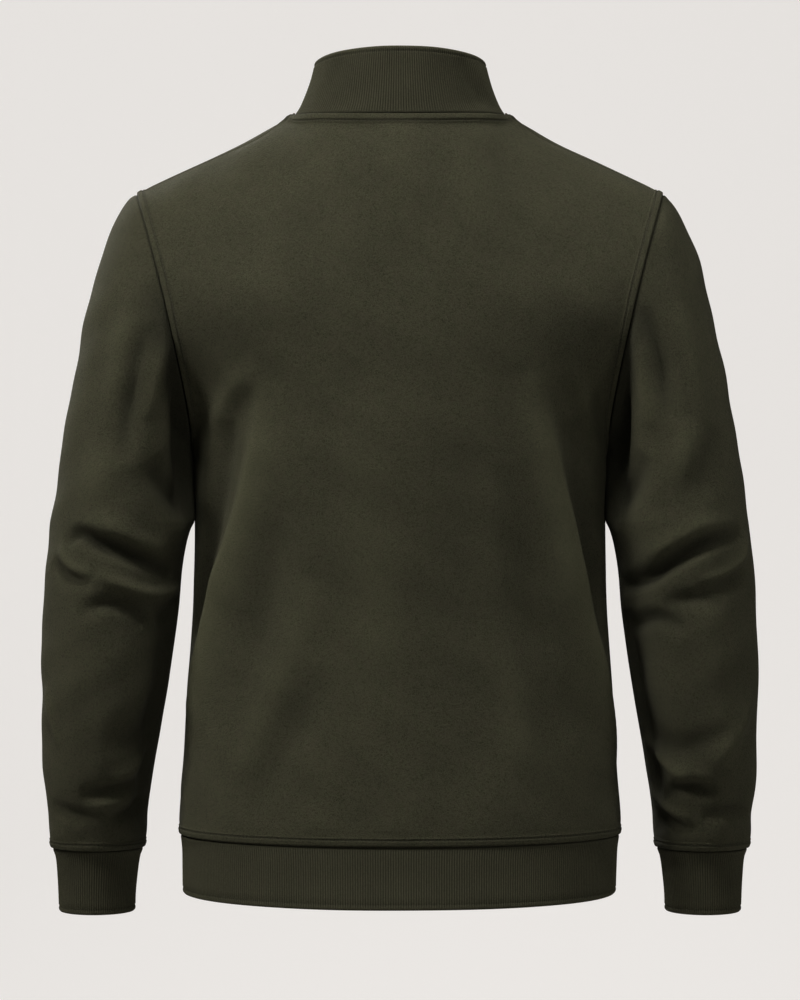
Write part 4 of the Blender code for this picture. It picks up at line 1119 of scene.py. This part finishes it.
to_edge = np.broadcast_to((heights - HEM)[:, None], hem.shape[:2])
to_seam = np.broadcast_to((HEM_SEAM - heights)[:, None], hem.shape[:2])
add_rib("hem_band_rib", "hem_band", hem, True, to_edge, to_seam, folds)

for side in ("left", "right"):
    dense = np.linspace(180.0, 540.0, BAND_SAMPLES)
    angles, _ = even_places(sleeve_point(dense, CUFF_END), dense, CUFF_RIBS * RIB_COLUMNS, True)
    heights = band_heights(CUFF_END, CUFF_SEAM, 12)
    cuff = on_side(sleeve_point(angles[None], heights[:, None]), side)
    to_edge = np.broadcast_to((heights - CUFF_END)[:, None], cuff.shape[:2])
    to_seam = np.broadcast_to((CUFF_SEAM - heights)[:, None], cuff.shape[:2])
    folds = np.zeros(cuff.shape[:2])
    add_rib(f"cuff_{side}_rib", f"cuff_{side}", cuff, True, to_edge, to_seam, folds)


# ---------------------------------------------------------------- topstitching
# Matching thread, sewn along the outer edge of every welt and down both sides of the zip. Each
# stitch is a short plump length of thread that sinks into the cloth at both ends.

STITCH_PITCH = 3.3
STITCH_LENGTH = 2.7
STITCH_RADIUS = 0.34
STITCH_SIDES = 5
STITCH_RINGS = (
    # place along it as a share of its length, radius and lift as shares of the thread's radius
    (-0.5, 0.45, -0.5),
    (-0.28, 1.0, 0.1),
    (0.28, 1.0, 0.1),
    (0.5, 0.45, -0.5),
)


def stitch_line(points, normals, distance, from_last):
    """Where each column, read from its first or its last row, first lies at the stitch line."""
    if from_last:
        points, normals, distance = points[::-1], normals[::-1], distance[::-1]
    places, turns = [], []
    for c in range(points.shape[1]):
        beyond = np.flatnonzero((distance[1:, c] >= STITCH_LINE) & (distance[:-1, c] < STITCH_LINE))
        if len(beyond) == 0:
            continue
        r = beyond[0]
        t = (STITCH_LINE - distance[r, c]) / (distance[r + 1, c] - distance[r, c])
        places.append(points[r, c] * (1 - t) + points[r + 1, c] * t)
        turns.append(normals[r, c] * (1 - t) + normals[r + 1, c] * t)
    return np.array(places), unit(np.array(turns))


def stitch_mesh(places, turns):
    """Points and faces of a row of stitches along a line on the cloth."""
    run = run_along(places)
    starts = np.arange(STITCH_PITCH, run[-1] - STITCH_PITCH, STITCH_PITCH)

    def at(distance, values):
        return np.stack([np.interp(distance, run, values[:, i]) for i in range(3)], axis=-1)

    middle, out = at(starts, places), unit(at(starts, turns))
    along = unit(at(starts + STITCH_LENGTH / 2, places) - at(starts - STITCH_LENGTH / 2, places))
    beside = unit(np.cross(out, along))
    rings = []
    for shift, radius, lift in STITCH_RINGS:
        for k in range(STITCH_SIDES):
            turn = 2 * math.pi * k / STITCH_SIDES
            rings.append(middle + along * shift * STITCH_LENGTH
                         + (beside * math.cos(turn) * radius
                            + out * (math.sin(turn) * radius + lift)) * STITCH_RADIUS)
    points = np.stack(rings, axis=1)
    size = len(STITCH_RINGS) * STITCH_SIDES
    single = [(r + k, r + (k + 1) % STITCH_SIDES,
               r + STITCH_SIDES + (k + 1) % STITCH_SIDES, r + STITCH_SIDES + k)
              for r in range(0, size - STITCH_SIDES, STITCH_SIDES) for k in range(STITCH_SIDES)]
    single += [tuple(range(STITCH_SIDES))[::-1], tuple(range(size - STITCH_SIDES, size))]
    faces = [tuple(i * size + v for v in face) for i in range(len(starts)) for face in single]
    return points.reshape(-1, 3), faces


def add_stitches(name, lines):
    """One joined mesh of the stitches along several lines."""
    points, faces = np.zeros((0, 3)), []
    for places, turns in lines:
        more, more_faces = stitch_mesh(places, turns)
        faces += [tuple(v + len(points) for v in face) for face in more_faces]
        points = np.concatenate([points, more])
    thing = add_mesh(name, points, faces, thread)
    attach(thing, "garment")


def panel_line(panel, seam, from_last):
    face = cloth_faces[panel]
    return stitch_line(face["points"], face["normals"], face[seam], from_last)


def armhole_line(panel, side):
    face = cloth_faces[panel]
    upper = face["height"][:, 0] > UNDERARM - 1
    points, normals, distance = (np.swapaxes(face[key][upper], 0, 1)
                                 for key in ("points", "normals", "armhole"))
    at_left = points[0, 0, 0] > 0
    return stitch_line(points, normals, distance, at_left != (side > 0))


add_stitches("stitches_neck", [panel_line(p, "neck", True) for p in ("back", "front")])
add_stitches("stitches_hem", [panel_line(p, "hem", False) for p in ("back", "front")])
for side, sign in (("left", 1), ("right", -1)):
    add_stitches(f"stitches_armhole_{side}", [armhole_line(p, sign) for p in ("back", "front")])
    sleeve = cloth_faces[f"sleeve_{side}"]
    places, turns = stitch_line(sleeve["points"], sleeve["normals"], sleeve["cuff"], False)
    add_stitches(f"stitches_cuff_{side}", [(np.concatenate([places, places[:2]]),
                                            np.concatenate([turns, turns[:2]]))])


# ---------------------------------------------------------------- zip
# A short metal zip between the slit's turned-in edges: two woven tapes, interlocked teeth in a dark
# finish, a slider at the top with a pull tab that swings on its bridge, and a bottom stop. The teeth
# are clamped on the tapes' beaded edges, and the tapes are sewn down beside the slit.

CHAIN_DEPTH = -2.2          # middle of the teeth, measured out from the cloth's face
CHAIN_LOW = -210.0
CHAIN_TOP = -0.6
TOOTH_PITCH = 1.25
TOOTH_SIZE = (2.9, 0.95, 2.3)
TOOTH_SHIFT = 0.85          # teeth lie left and right of the middle by turns
TOOTH_BEVEL = 0.22
TAPE_INNER = 2.7
TAPE_FLAT = 4.4             # the beaded edge ends here
TAPE_EDGE = 13.0
TAPE_ROW_PITCH = 1.5
TAPE_FACE = -2.3
TAPE_BACK = -3.1
TAPE_TURN_BACK = 1.2        # the outer edge lies deeper
TAPE_LOW = -222.0
TAPE_TOP = 10.0
BEAD_MIDDLE = 3.4
BEAD_RISE = 0.45
BEAD_WIDTH = 0.6

metal = bpy.data.materials.new("gunmetal")
metal.use_nodes = True
shader = metal.node_tree.nodes["Principled BSDF"]
shader.inputs["Metallic"].default_value = 1.0
grain = metal.node_tree.nodes.new("ShaderNodeTexCoord")
wear = add_noise(metal.node_tree, grain.outputs["Object"], scale=900.0, detail=4.0, roughness=0.6,
                 distortion=0.3)
links = metal.node_tree.links
links.new(add_range(metal.node_tree, wear, 0.3, 0.7, 0.30, 0.46), shader.inputs["Roughness"])
links.new(add_mix(metal.node_tree, wear, (0.15, 0.15, 0.14, 1.0), (0.23, 0.22, 0.20, 1.0)),
          shader.inputs["Base Color"])
for node in ("zip_slider", "zip_pull", "zip_stop"):
    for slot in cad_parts[node].material_slots:
        slot.material = metal

slit_line = panel_grid("front")[:, len(panel_shares("front")) // 2 - 1]
slit_line = slit_line[slit_line[:, 2] < neck_point(slit_angle)[2] - 1.0]
slit_line = np.concatenate([slit_line, collar[1:, 0]]) * (0, 1, 1)
slit_along = unit(np.gradient(slit_line, axis=0))


def on_slit(height, values):
    return np.stack([np.interp(height, slit_line[:, 2], values[:, i]) for i in range(3)], axis=-1)


def slit_places(low, high, pitch):
    """Even places along the slit between two heights, and the outward directions there."""
    run = run_along(slit_line)
    start, end = np.interp((low, high), slit_line[:, 2], run)
    heights = np.interp(np.arange(start, end, pitch), run, slit_line[:, 2])
    along = unit(on_slit(heights, slit_along))
    return on_slit(heights, slit_line), along, stack(0.0, -along[:, 2], along[:, 1])


deselect()
bpy.ops.mesh.primitive_cube_add(size=1.0)
tooth = bpy.context.active_object
bpy.ops.object.mode_set(mode="EDIT")
bpy.ops.transform.resize(value=[side * MM for side in TOOTH_SIZE])
bpy.ops.mesh.bevel(offset=TOOTH_BEVEL * MM, segments=1)
bpy.ops.object.mode_set(mode="OBJECT")
tooth_points = np.array([v.co for v in tooth.data.vertices]) / MM
tooth_faces = [tuple(face.vertices) for face in tooth.data.polygons]
bpy.data.objects.remove(tooth)
middles, along, out = slit_places(CHAIN_LOW, CHAIN_TOP, TOOTH_PITCH)
chain_points, chain_faces = [], []
for i, middle in enumerate(middles):
    shift = TOOTH_SHIFT if i % 2 else -TOOTH_SHIFT
    placed = (tooth_points[:, [0]] + shift) * (1, 0, 0) + tooth_points[:, [1]] * along[i]
    placed = placed + (tooth_points[:, [2]] + CHAIN_DEPTH) * out[i] + middle
    chain_faces += [tuple(v + i * len(placed) for v in face) for face in tooth_faces]
    chain_points.append(placed)
chain = add_mesh("zip_teeth", np.concatenate(chain_points), chain_faces, metal, smooth=False)
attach(chain, "garment")
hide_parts("zip_chain")

tape = bpy.data.materials.new("woven zip tape")
tape.use_nodes = True
shader = tape.node_tree.nodes["Principled BSDF"]
shader.inputs["Roughness"].default_value = 0.8
shader.inputs["Specular IOR Level"].default_value = 0.3
weave_place = tape.node_tree.nodes.new("ShaderNodeTexCoord")
weave = tape.node_tree.nodes.new("ShaderNodeTexWave")
weave.bands_direction = "DIAGONAL"
weave.inputs["Scale"].default_value = 420.0
weave.inputs["Distortion"].default_value = 1.2
links = tape.node_tree.links
links.new(weave_place.outputs["Object"], weave.inputs["Vector"])
links.new(add_mix(tape.node_tree, weave.outputs["Fac"], (0.012, 0.012, 0.008, 1.0),
                  (0.034, 0.033, 0.021, 1.0)), shader.inputs["Base Color"])
weave_bump = tape.node_tree.nodes.new("ShaderNodeBump")
weave_bump.inputs["Strength"].default_value = 0.5
weave_bump.inputs["Distance"].default_value = 0.2 * MM
links.new(weave.outputs["Fac"], weave_bump.inputs["Height"])
links.new(weave_bump.outputs["Normal"], shader.inputs["Normal"])

middles, along, out = slit_places(TAPE_LOW, TAPE_TOP, TAPE_ROW_PITCH)
for side, sign in (("left", 1), ("right", -1)):
    across = np.concatenate([np.linspace(TAPE_INNER, TAPE_FLAT, 7),
                             np.linspace(TAPE_FLAT, TAPE_EDGE, 12)[1:]])
    columns = across if sign > 0 else -across[::-1]
    points = middles[:, None] + stack(columns, 0.0, 0.0)[None]
    normals = np.broadcast_to(out[:, None], points.shape)
    away = np.broadcast_to(np.abs(columns), points.shape[:2])
    turned = -TAPE_TURN_BACK * (away - TAPE_INNER) / (TAPE_EDGE - TAPE_INNER)
    bead = BEAD_RISE * closeness(away - BEAD_MIDDLE, BEAD_WIDTH)
    thing = add_cloth(f"zip_tape_{side}_woven", points, normals, TAPE_FACE + turned + bead,
                      TAPE_BACK + turned + CLOTH_THICKNESS, False, tape)
    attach(thing, "garment")
    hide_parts(f"zip_tape_{side}")

face = cloth_faces["front"]
rows = (face["height"][:, 0] > SLIT_END - 2.0) & (face["neck"].min(axis=1) > -1.0)
slit_stitches = []
for sign in (1, -1):
    columns = face["points"][0, :, 0] * sign > 0
    points, normals = (np.swapaxes(face[key][rows][:, columns], 0, 1)
                       for key in ("points", "normals"))
    beside = np.abs(points[..., 0]) - SLIT_HALF_WIDTH
    clear = np.swapaxes(face["neck"][rows][:, columns], 0, 1)[-1 if sign < 0 else 0] > WELT_WIDTH
    points, normals, beside = points[:, clear], normals[:, clear], beside[:, clear]
    slit_stitches.append(stitch_line(points, normals, beside, sign < 0))
add_stitches("stitches_zip", slit_stitches)
